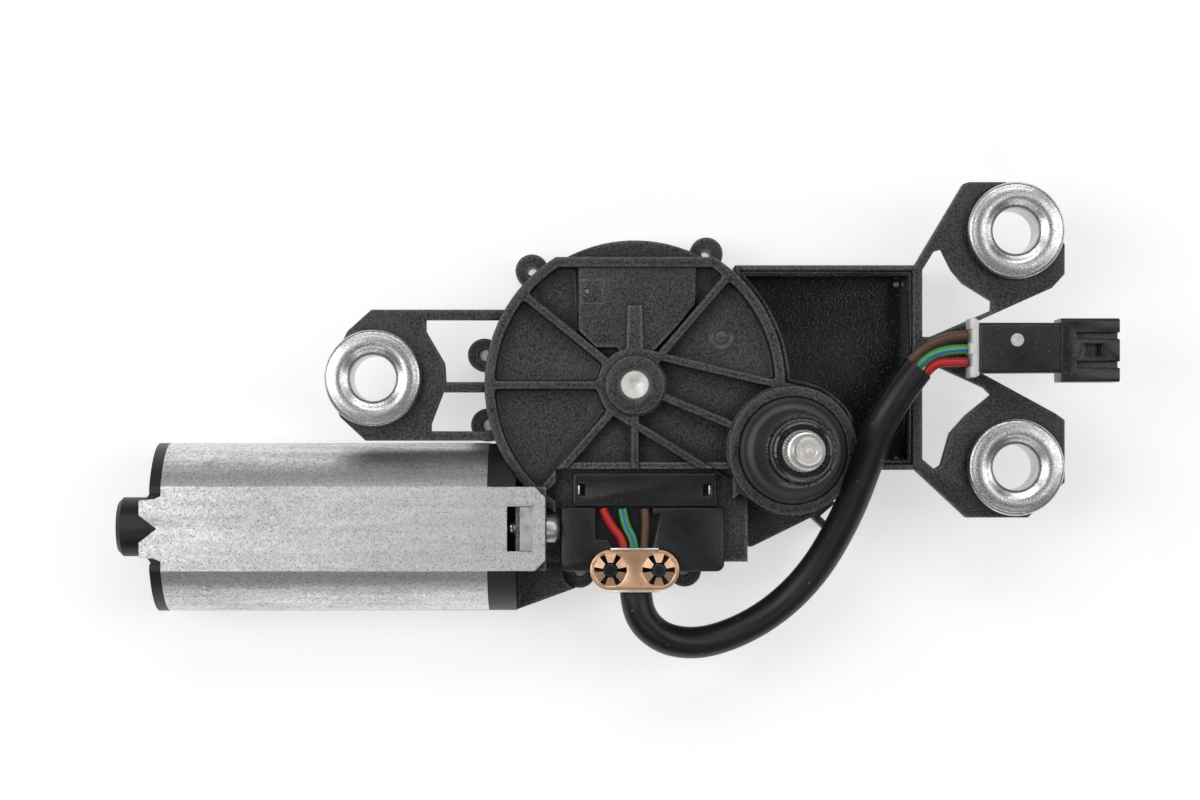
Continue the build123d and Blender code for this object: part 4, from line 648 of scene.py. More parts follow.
    @staticmethod
    def block(bm: Mesh, low: Point, high: Point, bevel: float = 0.0) -> Verts:
        """Add a box.

        Args:
            bm: the mesh to add to.
            low: its lowest corner, in millimetres.
            high: the opposite corner, in millimetres.
            bevel: the radius that its edges are rounded by, in millimetres.

        Returns:
            The new vertices.
        """
        before = set(bm.verts)
        made = bmesh.ops.create_cube(bm, size=1.0)["verts"]
        low_corner, high_corner = Vector(low) * MM, Vector(high) * MM
        bmesh.ops.scale(bm, verts=made, vec=high_corner - low_corner)
        bmesh.ops.translate(bm, verts=made, vec=(high_corner + low_corner) / 2)
        if bevel:
            Smith.round_off(bm, Smith.edges_of(made), bevel)
        return [v for v in bm.verts if v not in before]

    @staticmethod
    def round_off(bm: Mesh, edges: Edges, radius: float, segments: int = 2) -> None:
        """Round edges over by a radius in millimetres."""
        bmesh.ops.bevel(bm, geom=edges, offset=radius * MM, segments=segments, affect="EDGES",
                        profile=0.5, material=-1, clamp_overlap=False)

    @staticmethod
    def dress(finish: Finish, *nodes: str) -> None:
        """Give CAD nodes a finish.

        Args:
            finish: the finish.
            nodes: the nodes' names.
        """
        for name in nodes:
            materials = bpy.data.objects[name].data.materials
            materials.clear()
            materials.append(finish.build())
            log.info("dressed %s", name)


@dataclass
class Casting:
    """The die-cast gear housing with its cover, bay tray and terminal box.

    Sizes are in millimetres. An area holds the lowest x and y and then the highest. The tight spots are where
    a rounding would fold faces over each other.
    """

    web_top: float = 27.0
    rim_top: float = 31.5
    arm_top: float = 29.0
    plateau_top: float = 30.5
    ridge_height: float = 0.8
    plateau: Area = (-56.0, 26.0, -21.0, 50.0)
    bay_end: Area = (30.0, -6.0, 33.0, 48.0)
    bay_levels: Pair = (5.0, 26.0)
    bay_corner: float = 2.2
    rib_corner: float = 1.0
    rib_foot: float = 0.8
    web_face: float = 60.0
    rim_edge: float = 0.35
    arm_edge: float = 0.45
    plateau_edge: float = 0.6
    fillets_from_y: float = -8.4
    fillets_from_shaft: float = 17.5
    tight_spots: tuple[Area, ...] = ((-46.0, -9.0, -9.0, 9.0), (-50.0, 22.9, -31.0, 26.3))
    mark_place: Point = (-51.2, 39.6, 30.5)
    mark_square: Area = (-1.9, -3.2, 4.3, 3.2)
    mark_radii: Pair = (1.35, 0.75)
    stamp_place: Point = (-17.6, 28.3, 27.0)
    stamp_radii: Pair = (3.35, 1.6)
    stamp_bar: Pair = (1.3, 0.22)
    lid_low: float = 18.0
    lid_top: float = 31.6
    lid_corner: float = 0.9
    lid_edge: float = 0.3
    box_low: float = 19.0
    box_top: float = 31.0
    box_corner: float = 1.6
    box_edge: float = 0.6
    box_corners: tuple[Area, ...] = ((-18.0, -31.0, -16.0, -29.0), (-59.0, -31.0, -57.8, -29.0))
    tray_levels: Pair = (18.0, 30.0)
    tray_edge: float = 0.3
    pin_places: tuple[Point, ...] = ((27.7, 42.3, 14.0), (27.7, -2.5, 14.0))
    latch_places: Pair = (-53.25, -20.75)
    latch_half: float = 0.22
    latch_y: Pair = (-11.0, -8.7)
    latch_z: Pair = (29.4, 31.45)
    hub_place: Point = (-39.3, 16.3, 32.5)
    pin_radius: float = 3.75
    pin_foot: float = 14.9

    def build(self) -> None:
        """Dress the castings and add their small marks."""
        Smith.dress(POWDER_COAT, "back_cover")
        self._housing()
        self._tray()
        self._terminals()
        Smith.dress(SCREW_STEEL, "cover_screws")
        self._mould_mark()
        self._date_disc()
        self._wheel_pin()

    def _housing(self) -> None:
        """The casting with filleted rib feet and rounded rims."""
        web, rim, raised = self.web_top, self.rim_top, self.plateau_top
        ribs = {"concave": True, "from_y": self.fillets_from_y, "away": self.fillets_from_shaft,
                "spared": self.tight_spots}
        Smith.rounded(
            "gear_housing", "cast", POWDER_COAT, "cast_black",
            Rounding(self.bay_corner, 4, *self.bay_levels, upright=True, within=self.bay_end),
            Rounding(self.rib_corner, 3, web - 0.1, rim + 0.1, upright=True, **ribs),
            Rounding.at_level(self.rib_foot, 3, web, steep=30.0, roomy=self.web_face, **ribs),
            Rounding(self.rim_edge, 2, rim - 0.05, rim + 1.1),
            Rounding.at_level(self.arm_edge, 2, self.arm_top),
            Rounding.at_level(self.plateau_edge, 3, raised, within=self.plateau),
            Rounding.at_level(self.rim_edge, 2, raised + self.ridge_height, within=self.plateau),
            sharp=32)

    def _terminals(self) -> None:
        """The terminal box and its lid with rounded corners, and the latch springs in the lid's windows."""
        Smith.rounded(
            "terminal_cover", "moulded", BOX_PLASTIC, "smooth_black_plastic",
            Rounding(self.lid_corner, 4, self.lid_low, self.lid_top, upright=True),
            Rounding.at_level(self.lid_edge, 2, self.lid_top))
        corners = [Rounding(self.box_corner, 4, self.box_low, self.box_top + 0.05, upright=True, steep=70.0,
                            within=corner) for corner in self.box_corners]
        Smith.rounded("terminal_box", "moulded", BOX_PLASTIC, "smooth_black_plastic",
                      *corners, Rounding.at_level(self.box_edge, 3, self.box_top))
        (front, back), (low, high) = self.latch_y, self.latch_z
        bm = bmesh.new()
        for x in self.latch_places:
            Smith.block(bm, (x - self.latch_half, front, low), (x + self.latch_half, back, high), 0.1)
        Smith.piece(bm, "latch_springs", CUT_STEEL, "screw_steel", "root")

    def _tray(self) -> None:
        """The electronics tray with rounded lips, and the bright ends of its two pins."""
        Smith.rounded("electronics_tray", "moulded", TRAY_PLASTIC, "gloss_black_plastic",
                      Rounding(self.tray_edge, 2, *self.tray_levels))
        bm = bmesh.new()
        for place in self.pin_places:
            Smith.turn(bm, [(0.9, -2.0), (0.9, 0.35), (0.6, 0.6), (0.0, 0.6)], 24, place=place)
        Smith.piece(bm, "tray_pins", TURNED_STEEL, "screw_steel", "root")

    def _mould_mark(self) -> None:
        """Rings that an ejector leaves, in a faint raised square."""
        x, y, z = self.mark_place
        outer, inner = self.mark_radii
        bm = bmesh.new()
        west, south, east, north = self.mark_square
        Smith.block(bm, (x + west, y + south, z - 3.0), (x + east, y + north, z + 0.15), 0.12)
        Smith.turn(bm, [(outer, 0.1), (outer, 0.45), (outer - 0.3, 0.45), (outer - 0.3, 0.1)], 40,
                   place=self.mark_place)
        Smith.turn(bm, [(inner, 0.1), (inner - 0.1, 0.4), (0.0, 0.4)], 32, place=self.mark_place)
        Smith.piece(bm, "mould_mark", POWDER_COAT, "cast_black", "root")

    def _date_disc(self) -> None:
        """A round insert in the web: a dark ring round a bare disc with a plain bar."""
        outer, inner = self.stamp_radii
        x, y, z = self.stamp_place
        half_length, half_width = self.stamp_bar
        bm = bmesh.new()
        Smith.turn(bm, [(outer, -0.2), (outer, 0.22), (outer - 0.35, 0.3), (outer - 0.6, 0.1),
                        (inner + 0.1, 0.08), (inner + 0.1, -0.2)], 56, closed=True, place=self.stamp_place)
        Smith.piece(bm, "date_ring", BOX_PLASTIC, "cast_black", "root")
        bm = bmesh.new()
        Smith.turn(bm, [(inner, -0.2), (inner, 0.2), (inner - 0.2, 0.3), (0.0, 0.3)], 48,
                   place=self.stamp_place)
        Smith.block(bm, (x - half_length, y - half_width, z + 0.2),
                    (x + half_length, y + half_width, z + 0.55), 0.1)
        Smith.piece(bm, "date_disc", BARE_DISC, "cast_black", "root")

    def _wheel_pin(self) -> None:
        """The pin's ground end with its chamfer and lathe pip."""
        x, y, top = self.hub_place
        radius, foot = self.pin_radius, self.pin_foot
        bm = bmesh.new()
        Smith.turn(bm, [(0.0, foot), (radius, foot), (radius, top - 0.4), (radius - 0.4, top), (1.3, top),
                        (1.1, top - 0.15), (0.4, top - 0.2), (0.0, top - 0.2)], 72, place=(x, y, 0.0))
        Smith.piece(bm, "wheel_pin_turned", PIN_STEEL, "ground_steel", "root", ("wheel_pin",))


@dataclass
class MotorTube:
    """The zinc-plated can with its cap, screws and nuts. Sizes are in millimetres."""

    motor_y: float = -19.4
    axis_z: float = 18.5
    can_radius: float = 21.25
    dent_x: float = -146.0
    dent_half: Pair = (1.3, 0.9)
    dent_lift: float = 0.45
    dent_angles: Pair = (-50.0, 45.7)
    gusset_x: Pair = (-162.2, -156.9)
    gusset_reach: Pair = (7.0, 11.8)
    gusset_z: Pair = (13.0, 25.5)
    gusset_slope: float = 3.4
    shank_radius: float = 2.0
    thread_depth: float = 0.45
    head_radius: float = 3.6
    head_height: float = 3.2
    pitch: float = 0.8

    def build(self) -> None:
        """Dress the tube and cut its screws."""
        Smith.dress(CAN_ZINC, "motor_can")
        self._dents()
        self._gussets()
        Smith.dress(CAP_PLASTIC, "end_cap")
        Smith.dress(NUT_ZINC, "can_nuts")
        self._screws()

    def _gussets(self) -> None:
        """Two webs that brace the cap's boss against its rim, sloped on their outer side."""
        back, front = self.gusset_x
        low, high = self.gusset_z
        bm = bmesh.new()
        for side in (-1, 1):
            inner, outer = (self.motor_y + side * reach for reach in self.gusset_reach)
            made = Smith.block(bm, (back, min(inner, outer), low), (front, max(inner, outer), high))
            slope = [v for v in made
                     if v.co.x < (back + front) / 2 * MM and abs(v.co.y - outer * MM) < 0.5 * MM]
            Smith.move(bm, slope, (self.gusset_slope, 0, 0))
        Smith.piece(bm, "cap_gussets", CAP_PLASTIC, "black_plastic", "root")

    def _dents(self) -> None:
        """Two small lanced tongues that hold the magnets' clip, one each side of the flat."""
        half_length, half_width = self.dent_half
        level = self.axis_z + self.can_radius
        bm = bmesh.new()
        for angle in self.dent_angles:
            made = Smith.block(bm, (self.dent_x - half_length, self.motor_y - half_width, level - 0.6),
                               (self.dent_x + half_length, self.motor_y + half_width, level + 0.12), 0.1)
            Smith.move(bm, [v for v in made if v.co.x > self.dent_x * MM], (0, 0, self.dent_lift))
            bmesh.ops.rotate(bm, verts=made, cent=(0, self.motor_y * MM, self.axis_z * MM),
                             matrix=Matrix.Rotation(math.radians(angle), 3, "X"))
        Smith.piece(bm, "can_lances", CAN_ZINC, "zinc_plate", "root")

    def _screws(self) -> None:
        """Two threaded screws with rounded heads and sockets, in place of the plain ones."""
        low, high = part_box("can_screws")
        length = (high.x - low.x) / MM - self.head_height
        top = length + self.head_height
        head, core = self.head_radius, self.shank_radius - self.thread_depth
        bm = bmesh.new()
        for level in (low.z / MM + head, high.z / MM - head):
            before = set(bm.verts)
            Smith.turn(bm, [(0.0, 0.0), (core - 0.3, 0.0), (core + 0.05, 0.4), (core + 0.05, length),
                            (head, length), (head, length + 2.1), (head - 0.35, length + 2.8),
                            (head - 1.1, top), (1.5, top), (1.5, length + 1.6), (0.0, length + 1.4)], 48)
            Smith.thread(bm, core, self.shank_radius, self.pitch, (length - 1.0) / self.pitch, 0.5)
            made = [v for v in bm.verts if v not in before]
            bmesh.ops.rotate(bm, verts=made, cent=(0, 0, 0), matrix=Matrix.Rotation(math.pi / 2, 3, "Y"))
            bmesh.ops.translate(bm, verts=made, vec=(low.x, self.motor_y * MM, level * MM))
        Smith.piece(bm, "can_screws_threaded", SCREW_STEEL, "screw_steel", "root", ("can_screws",))


@dataclass
class OutputDrive:
    """The turned output shaft with knurl and thread, its boot, seal and clip, in millimetres."""

    foot_radius: float = 3.5
    seat_radius: float = 4.0
    shaft_radius: float = 5.0
    cone_z: float = 70.5
    stud_z: float = 77.5
    stud_radius: float = 4.0
    thread_depth: float = 0.68
    top_z: float = 87.0
    pitch: float = 1.25
    serrations: int = 40
    groove_share: float = 0.915
    tower_radius: float = 7.65
    boot_top_z: float = 60.5
    grease_lumps: int = 54
    grease_reach: float = 7.7
    grease_z: float = 60.85
    lip_radius: float = 8.2
    golden_angle: float = 2.39996

    def build(self) -> None:
        """Turn the shaft and mould the boot and seal."""
        self._shaft()
        self._boot()
        self._seal()
        Smith.dress(GREASED_RUBBER, "shaft_clip")
        Smith.dress(BRONZE, "shaft_bush")

    def _shaft(self) -> None:
        """Shaft from its foot to the centre-drilled, threaded end."""
        core, top = self.stud_radius - self.thread_depth, self.top_z
        bm = bmesh.new()
        Smith.turn(bm, [(0.0, 1.5), (self.foot_radius, 1.5), (self.foot_radius, 6.7), (self.seat_radius, 6.7),
                        (self.seat_radius, 10.3), (self.shaft_radius, 10.3), (self.shaft_radius, 69.4),
                        (4.75, 69.6), (4.75, 70.3), (self.shaft_radius - 0.55, self.cone_z)], 96)
        Smith.turn(bm, [(4.3, self.stud_z), (3.6, self.stud_z + 0.25), (core, self.stud_z + 0.5),
                        (core, top - 1.2), (core - 0.3, top - 0.35), (2.85, top), (1.9, top - 0.02),
                        (1.75, top - 0.12), (0.75, top - 0.12), (0.12, top - 1.0), (0.0, top - 1.0)], 96)
        turns = (top - self.stud_z - 3.4) / self.pitch
        Smith.thread(bm, core, self.stud_radius, self.pitch, turns, self.stud_z + 0.8)
        self._knurl(bm)
        Smith.piece(bm, "output_shaft_turned", SHAFT_STEEL, "shaft_steel", "output", ("output_shaft",),
                    sharp=30)

    def _knurl(self, bm: Mesh) -> None:
        """Add the serrated cone that the wiper arm grips.

        Args:
            bm: the shaft's mesh.
        """
        steps = 2 * self.serrations
        ring = bmesh.ops.create_circle(bm, segments=steps, radius=self.shaft_radius * MM)["verts"]
        bmesh.ops.scale(bm, verts=ring[::2], vec=(self.groove_share, self.groove_share, 1.0))
        Smith.move(bm, ring, (0, 0, self.cone_z))
        foot = edges = Smith.edges_of(ring)
        for height, share in ((0.5, 1.0), (self.stud_z - self.cone_z - 0.9, 0.93), (0.4, 0.92)):
            made = bmesh.ops.extrude_edge_only(bm, edges=edges)["geom"]
            verts = [item for item in made if isinstance(item, bmesh.types.BMVert)]
            edges = [item for item in made if isinstance(item, bmesh.types.BMEdge)]
            Smith.move(bm, verts, (0, 0, height))
            bmesh.ops.scale(bm, verts=verts, vec=(share, share, 1.0))
        bmesh.ops.contextual_create(bm, geom=edges)
        bmesh.ops.contextual_create(bm, geom=foot)

    def _boot(self) -> None:
        """Rubber boot: rolled foot, dished shoulder, tapering sleeve and thick lip."""
        inner, top = self.tower_radius, self.boot_top_z
        bm = bmesh.new()
        Smith.turn(bm, [(inner, 31.3), (13.2, 31.3), (13.2, 33.2), (12.95, 33.75), (12.4, 33.95),
                        (12.15, 34.3), (12.05, 35.4), (11.75, 36.2), (11.2, 36.65), (10.5, 36.7),
                        (10.0, 37.0), (9.7, 37.8), (9.25, 45.0), (8.95, 52.0), (8.8, 57.0), (8.85, 58.2),
                        (8.8, 59.4), (8.55, 60.1), (8.2, top), (inner + 0.2, top), (inner, top - 0.5)],
                   96, closed=True)
        Smith.piece(bm, "shaft_boot_moulded", RUBBER, "black_rubber", "root", ("shaft_boot",), sharp=60)
        self._grease()

    def _grease(self) -> None:
        """A collar of grease on the boot's lip, with lumps of several sizes strewn over it."""
        bm = bmesh.new()
        Smith.turn(bm, [(8.5, 60.2), (8.45, 60.75), (8.1, 61.0), (7.5, 60.85), (7.62, 60.3)], closed=True)
        for step in range(self.grease_lumps):
            angle = step * self.golden_angle
            reach = self.grease_reach + 0.12 * (step * 7 % 9)
            size = 0.2 + 0.05 * (step * 5 % 6)
            level = self.grease_z - 0.5 * max(0.0, reach - self.lip_radius)
            lump = bmesh.ops.create_icosphere(bm, subdivisions=2, radius=size * MM)["verts"]
            Smith.move(bm, lump, (reach * math.cos(angle), reach * math.sin(angle), level))
        Smith.piece(bm, "boot_grease", GREASED_RUBBER, "black_rubber", "root", sharp=60)

    def _seal(self) -> None:
        """Lip seal in the tower's mouth, with grease between its lips."""
        bm = bmesh.new()
        Smith.turn(bm, [(5.05, 64.0), (7.1, 64.0), (7.1, 67.2), (6.9, 67.8), (6.3, 68.0), (6.1, 67.5),
                        (5.7, 67.4), (5.4, 67.8), (5.05, 67.9)], 96, closed=True)
        Smith.piece(bm, "shaft_seal_moulded", GREASED_RUBBER, "black_rubber", "root", ("shaft_seal",),
                    sharp=50)


@dataclass
class CableClamp:
    """The copper-plated plate that grips the cable, pushed onto two plastic studs, in millimetres."""

    centre: Point = (-39.4, -29.7, 32.6)
    half_length: float = 11.1
    half_width: float = 5.0
    sheet: float = 1.0
    stud_x: float = 6.0
    hole_radius: float = 4.0
    teeth: int = 6
    tooth_tip: float = 1.85
    tooth_width: float = 3.0
    tooth_taper: float = 0.42
    tooth_sheet: float = 0.45
    tooth_z: float = 0.6
    tooth_lift: float = 0.95
    edge_length: float = 12.0
    edge_rise: float = 1.8

    def build(self) -> None:
        """Press the plate with its sprung teeth, and bare its turned edges."""
        bm = bmesh.new()
        self._plate(bm)
        for side in (-1, 1):
            for step in range(self.teeth):
                self._tooth(bm, side * self.stud_x, step)
        Smith.move(bm, bm.verts, self.centre)
        Smith.piece(bm, "cable_clamp_pressed", COPPER_STEEL, "copper_steel", "root", ("cable_clamp",),
                    sharp=30)
        bm = bmesh.new()
        x, y, z = self.centre
        half = self.edge_length / 2
        for side in (-1, 1):
            near, far = sorted((y + side * (self.half_width - 0.05), y + side * (self.half_width + 0.5)))
            Smith.block(bm, (x - half, near, z), (x + half, far, z + self.edge_rise), 0.12)
        Smith.piece(bm, "clamp_edges", CUT_STEEL, "copper_steel", "root")

    def _plate(self, bm: Mesh) -> None:
        """Add the plate with round ends and two round holes.

        Args:
            bm: the clamp's mesh, still empty.
        """
        steps = 64
        rim = bmesh.ops.create_circle(bm, segments=steps, radius=self.half_width * MM)["verts"]
        bmesh.ops.rotate(bm, verts=rim, cent=(0, 0, 0), matrix=Matrix.Rotation(math.pi / steps, 3, "Z"))
        for side in (-1, 1):
            end = [v for v in rim if v.co.x * side > 0]
            Smith.move(bm, end, (side * (self.half_length - self.half_width), 0, 0))
        for side in (-1, 1):
            hole = bmesh.ops.create_circle(bm, segments=48, radius=self.hole_radius * MM)["verts"]
            Smith.move(bm, hole, (side * self.stud_x, 0, 0))
        bmesh.ops.triangle_fill(bm, edges=bm.edges, use_beauty=True, use_dissolve=True)
        made = bmesh.ops.extrude_face_region(bm, geom=bm.faces)["geom"]
        Smith.move(bm, [item for item in made if isinstance(item, bmesh.types.BMVert)], (0, 0, self.sheet))
        bmesh.ops.recalc_face_normals(bm, faces=bm.faces)
        Rounding.at_level(0.18, 2, self.sheet).apply(bm)

    def _tooth(self, bm: Mesh, x: float, step: int) -> None:
        """Add a tooth that narrows and rises from the hole's edge towards the stud.

        Args:
            bm: the clamp's mesh.
            x: where the stud stands, from the clamp's middle.
            step: which of the hole's teeth it is.
        """
        made = bmesh.ops.create_cube(bm, size=1.0)["verts"]
        low, high = self.tooth_tip, self.hole_radius + 0.25
        tip = [v for v in made if v.co.x < 0]
        bmesh.ops.scale(bm, verts=made, vec=Vector((high - low, self.tooth_width, self.tooth_sheet)) * MM)
        bmesh.ops.scale(bm, verts=tip, vec=(1.0, self.tooth_taper, 1.0))
        Smith.move(bm, made, ((high + low) / 2, 0, self.tooth_z))
        Smith.move(bm, tip, (0, 0, self.tooth_lift))
        turn = Matrix.Rotation((step + 0.5) * math.tau / self.teeth, 3, "Z")
        bmesh.ops.rotate(bm, verts=made, cent=(0, 0, 0), matrix=turn)
        Smith.move(bm, made, (x, 0, 0))


@dataclass
class Mountings:
    """Three zinc-plated flanged sleeves in rubber grommets, in millimetres."""

    places: tuple[tuple[str, float, float], ...] = (
        ("left", -104.5, 18.0), ("top", 55.5, 54.7), ("bottom", 55.5, -4.2))
    bore: float = 5.7
    tube: float = 7.2
    flange: float = 12.1
    bottom_z: float = 18.5

    def build(self) -> None:
        """Press each sleeve and mould its grommet."""
        for name, x, y in self.places:
            self._sleeve(name, (x, y, 0.0))
            self._grommet(name, (x, y, 0.0))

    def _sleeve(self, name: str, place: Point) -> None:
        """Make a sleeve with a raised thin rim, a flat ring and a rolled mouth.

        Args:
            name: which of the mountings it is.
            place: its axis, in millimetres.
        """
        bore, flange, foot = self.bore, self.flange, self.bottom_z
        bm = bmesh.new()
        Smith.turn(bm, [(bore, 31.6), (bore, foot + 0.3), (bore + 0.3, foot), (self.tube - 0.3, foot),
                        (self.tube, foot + 0.3), (self.tube, 30.4), (7.5, 31.3), (8.3, 31.95), (9.2, 32.0),
                        (10.9, 32.0), (11.7, 31.75), (flange - 0.1, 31.3), (flange, 31.5), (flange, 32.1),
                        (11.9, 32.75), (11.6, 33.05), (11.25, 33.18), (10.9, 33.2), (10.5, 33.32),
                        (9.6, 33.46), (8.7, 33.5), (8.0, 33.4), (7.4, 33.15), (6.9, 32.9), (6.5, 32.8),
                        (6.2, 32.65), (5.9, 32.3)],
                   96, closed=True, place=place)
        Smith.piece(bm, f"mount_sleeve_{name}_pressed", SLEEVE_ZINC, "bright_zinc", "root",
                    (f"mount_sleeve_{name}",), sharp=50)

    def _grommet(self, name: str, place: Point) -> None:
        """Make a rubber grommet that bulges above and below the arm.

        Args:
            name: which of the mountings it is.
            place: its axis, in millimetres.
        """
        inner = self.tube + 0.05
        bm = bmesh.new()
        Smith.turn(bm, [(inner, 20.2), (inner + 0.3, 20.0), (9.4, 20.0), (10.1, 20.3), (10.4, 21.0),
                        (10.4, 24.0), (10.1, 24.7), (9.6, 24.95), (8.95, 24.95), (8.95, 29.05),
                        (9.8, 29.05), (10.3, 29.4), (10.4, 30.2), (10.3, 31.3), (9.8, 31.9), (9.1, 31.95),
                        (8.6, 31.8), (inner + 0.2, 30.3)],
                   72, closed=True, place=place)
        Smith.piece(bm, f"mount_grommet_{name}_moulded", RUBBER, "black_rubber", "root",
                    (f"mount_grommet_{name}",), sharp=50)


@dataclass
class Loom:
    """The sheathed cable with its leads, seal and connector.

    The cable's length is in metres, the other sizes are in millimetres.
    """

    cable_radius: float = 4.0
    wire_radius: float = 1.15
    lead_radius: float = 1.1
    stripe_radius: float = 0.45
    cable_length: float = 0.1287
    plug_levels: Pair = (30.0, 50.0)
    plug_edge: float = 0.25

    def build(self) -> None:
        """Lay the cable, the leads at both ends and the plug."""
        route = [(-39.4, -25.6, 28.5), (-39.4, -35.5, 28.5), (-37.4, -43.2, 28.2), (-30.6, -48.2, 25.4),
                 (-20.0, -48.6, 22.2), (-6.0, -42.5, 20.4), (5.6, -31.5, 23.0), (13.6, -16.6, 29.5),
                 (18.2, -3.0, 35.2), (22.4, 10.2, 38.2), (30.4, 20.4, 38.4)]
        sheath = self._run("cable_sheath_laid", route, self.cable_radius, SHEATH, "black_sheath",
                           ("cable_sheath",))
        leads = self._leads() + self._wires()
        seal = self._seal()
        plug = self._plug()
        dot = self._paint_dot()

    def _run(self, name: str, route: list[Point], radius: float, finish: Finish, slot: str,
             replaces: tuple[str, ...] = ()) -> Thing:
        """Lay one round run along a smooth curve.

        Args:
            name: the piece's name.
            route: its points in millimetres.
            radius: half its diameter, in millimetres.
            finish: its material.
            slot: not used.
            replaces: CAD nodes that it stands for.

        Returns:
            The curve's object.
        """
        curve = bpy.data.curves.new(name, "CURVE")
        curve.dimensions = "3D"
        curve.bevel_depth = radius * MM
        curve.bevel_resolution = 6
        curve.use_fill_caps = True
        curve.resolution_u = 16
        spline = curve.splines.new("NURBS")
        spline.points.add(len(route) - 1)
        for point, place in zip(spline.points, route):
            point.co = (*(value * MM for value in place), 1.0)
        spline.order_u = 3
        spline.use_endpoint_u = True
        return Smith.fit(bpy.data.objects.new(name, curve), finish, slot, "root", replaces)

    def _insulated(self, name: str, node: str, radius: float, routes: dict[str, list[Point]],
                   stripe_shift: Point) -> list[Thing]:
        """Lay insulated wires side by side, the green one with a blue stripe.

        Args:
            name: what the pieces' names start with.
            node: what the names of the CAD nodes that they stand for start with.
            radius: half a wire's diameter, in millimetres.
            routes: the points of each colour's wire, in millimetres.
            stripe_shift: how far the stripe lies from the green wire's middle, in millimetres.

        Returns:
            The wires and the stripe.
        """
        made = []
        for colour, route in routes.items():
            slot = f"{colour}_insulation"
            made.append(self._run(f"{name}_{colour}", route, radius, INSULATION[colour], slot,
                                  (f"{node}_{colour}",)))
            if colour == "green":
                shifted = [tuple(map(sum, zip(place, stripe_shift))) for place in route]
                made.append(self._run(f"{name}_stripe", shifted, self.stripe_radius, BLUE_MARK, slot))
        return made

    def _leads(self) -> list[Thing]:
        """Three leads from the terminal cover to the cable."""
        return self._insulated("lead", "lead_wire", self.lead_radius, {
            "red": [(-47.3, -14.5, 30.1), (-45.6, -18.4, 30.1), (-42.0, -22.4, 29.7), (-42.0, -25.6, 29.7)],
            "green": [(-42.4, -14.5, 30.1), (-41.8, -18.6, 30.1), (-39.4, -22.4, 29.7), (-39.4, -25.6, 29.7)],
            "brown": [(-36.8, -14.5, 30.1), (-36.5, -18.6, 30.1), (-36.9, -22.4, 29.7), (-36.9, -25.6, 29.7)],
        }, (0.0, 0.0, 0.72))

    def _wires(self) -> list[Thing]:
        """Three leads from the sheath's cut end to the seal."""
        return self._insulated("wire", "cable_wire", self.wire_radius, {
            "brown": [(28.4, 21.9, 38.4), (30.5, 24.6, 38.45), (38.0, 28.4, 38.4), (42.6, 28.4, 38.4)],
            "green": [(30.4, 20.4, 38.4), (32.5, 23.1, 38.45), (38.0, 25.0, 38.4), (42.6, 25.0, 38.4)],
            "red": [(32.3, 18.9, 38.4), (34.4, 21.5, 38.45), (38.0, 21.8, 38.4), (42.6, 21.8, 38.4)],
        }, (0.0, -0.2, 0.74))

    def _plug(self) -> Thing:
        """The connector with its moulded edges rounded."""
        return Smith.rounded("connector", "moulded", PLUG_PLASTIC, "connector_plastic",
                             Rounding(self.plug_edge, 2, *self.plug_levels, steep=60.0))

    def _seal(self) -> Thing:
        """White rear seal: a thin plate with ribs and three collars."""
        bm = bmesh.new()
        Smith.block(bm, (43.2, 18.2, 34.2), (45.1, 32.2, 42.6), 0.5)
        for low, high in ((17.95, 20.6), (23.6, 26.4), (29.8, 32.5)):
            Smith.block(bm, (42.7, low, 34.0), (44.4, high, 42.7), 0.3)
        return Smith.piece(bm, "connector_seal_ribbed", SEAL_WHITE, "white_seal", "root", ("connector_seal",))

    def _paint_dot(self) -> Thing:
        """A dab of white paint on the connector's body."""
        bm = bmesh.new()
        Smith.turn(bm, [(0.0, 43.47), (1.35, 43.46), (1.7, 43.38), (1.75, 43.2)], 24, place=(54.2, 27.1, 0.0))
        return Smith.piece(bm, "paint_dot", PAINT_DOT, "pale_plastic", "root")


class InnerWorks:
    """What works inside: armature, brushes, wheel, linkage and board."""

    FINISHES: dict[str, Finish] = {
        "armature_core": LAMINATIONS, "armature_shaft": GROUND_STEEL, "armature_winding": COPPER_WIRE,
        "brush_holder": CAP_PLASTIC, "brush_springs": SPRING_STEEL, "can_magnets": FERRITE,
        "carbon_brushes": CARBON, "choke_coils": COPPER_WIRE, "circuit_board": BOARD,
        "commutator": COPPER_WIRE, "contact_disc": STAMPED_STEEL, "contact_fingers": SPRING_STEEL,
        "crank_pin": GROUND_STEEL, "front_bearing": BRONZE, "guide_link": STAMPED_STEEL,
        "output_pinion": BRONZE, "rear_bearing": BRONZE, "sector_pin": GROUND_STEEL,
        "sector_rod": STAMPED_STEEL, "thrust_pad": GEAR_PLASTIC, "wheel_clip": SPRING_STEEL,
        "worm_wheel": GEAR_PLASTIC,
    }

    def build(self) -> None:
        """Dress every inner node."""
        for node, finish in self.FINISHES.items():
            Smith.dress(finish, node)


@dataclass(frozen=True)
class Lamp:
    """A rectangular soft lamp: its place and size in metres, its power in watts."""

    name: str
    place: Point
    size: Pair
    power: float

    def hang(self, target: Point) -> None:
        """Hang the lamp.

        Args:
            target: the place that it faces, in metres.
        """
        light = bpy.data.lights.new(self.name, "AREA")
        light.shape = "RECTANGLE"
        light.size, light.size_y = self.size
        light.energy = self.power
        made = bpy.data.objects.new(self.name, light)
        made.location = self.place
        aim = Vector(target) - Vector(self.place)
        made.rotation_euler = aim.to_track_quat("-Z", "Y").to_euler()
        bpy.context.scene.collection.objects.link(made)


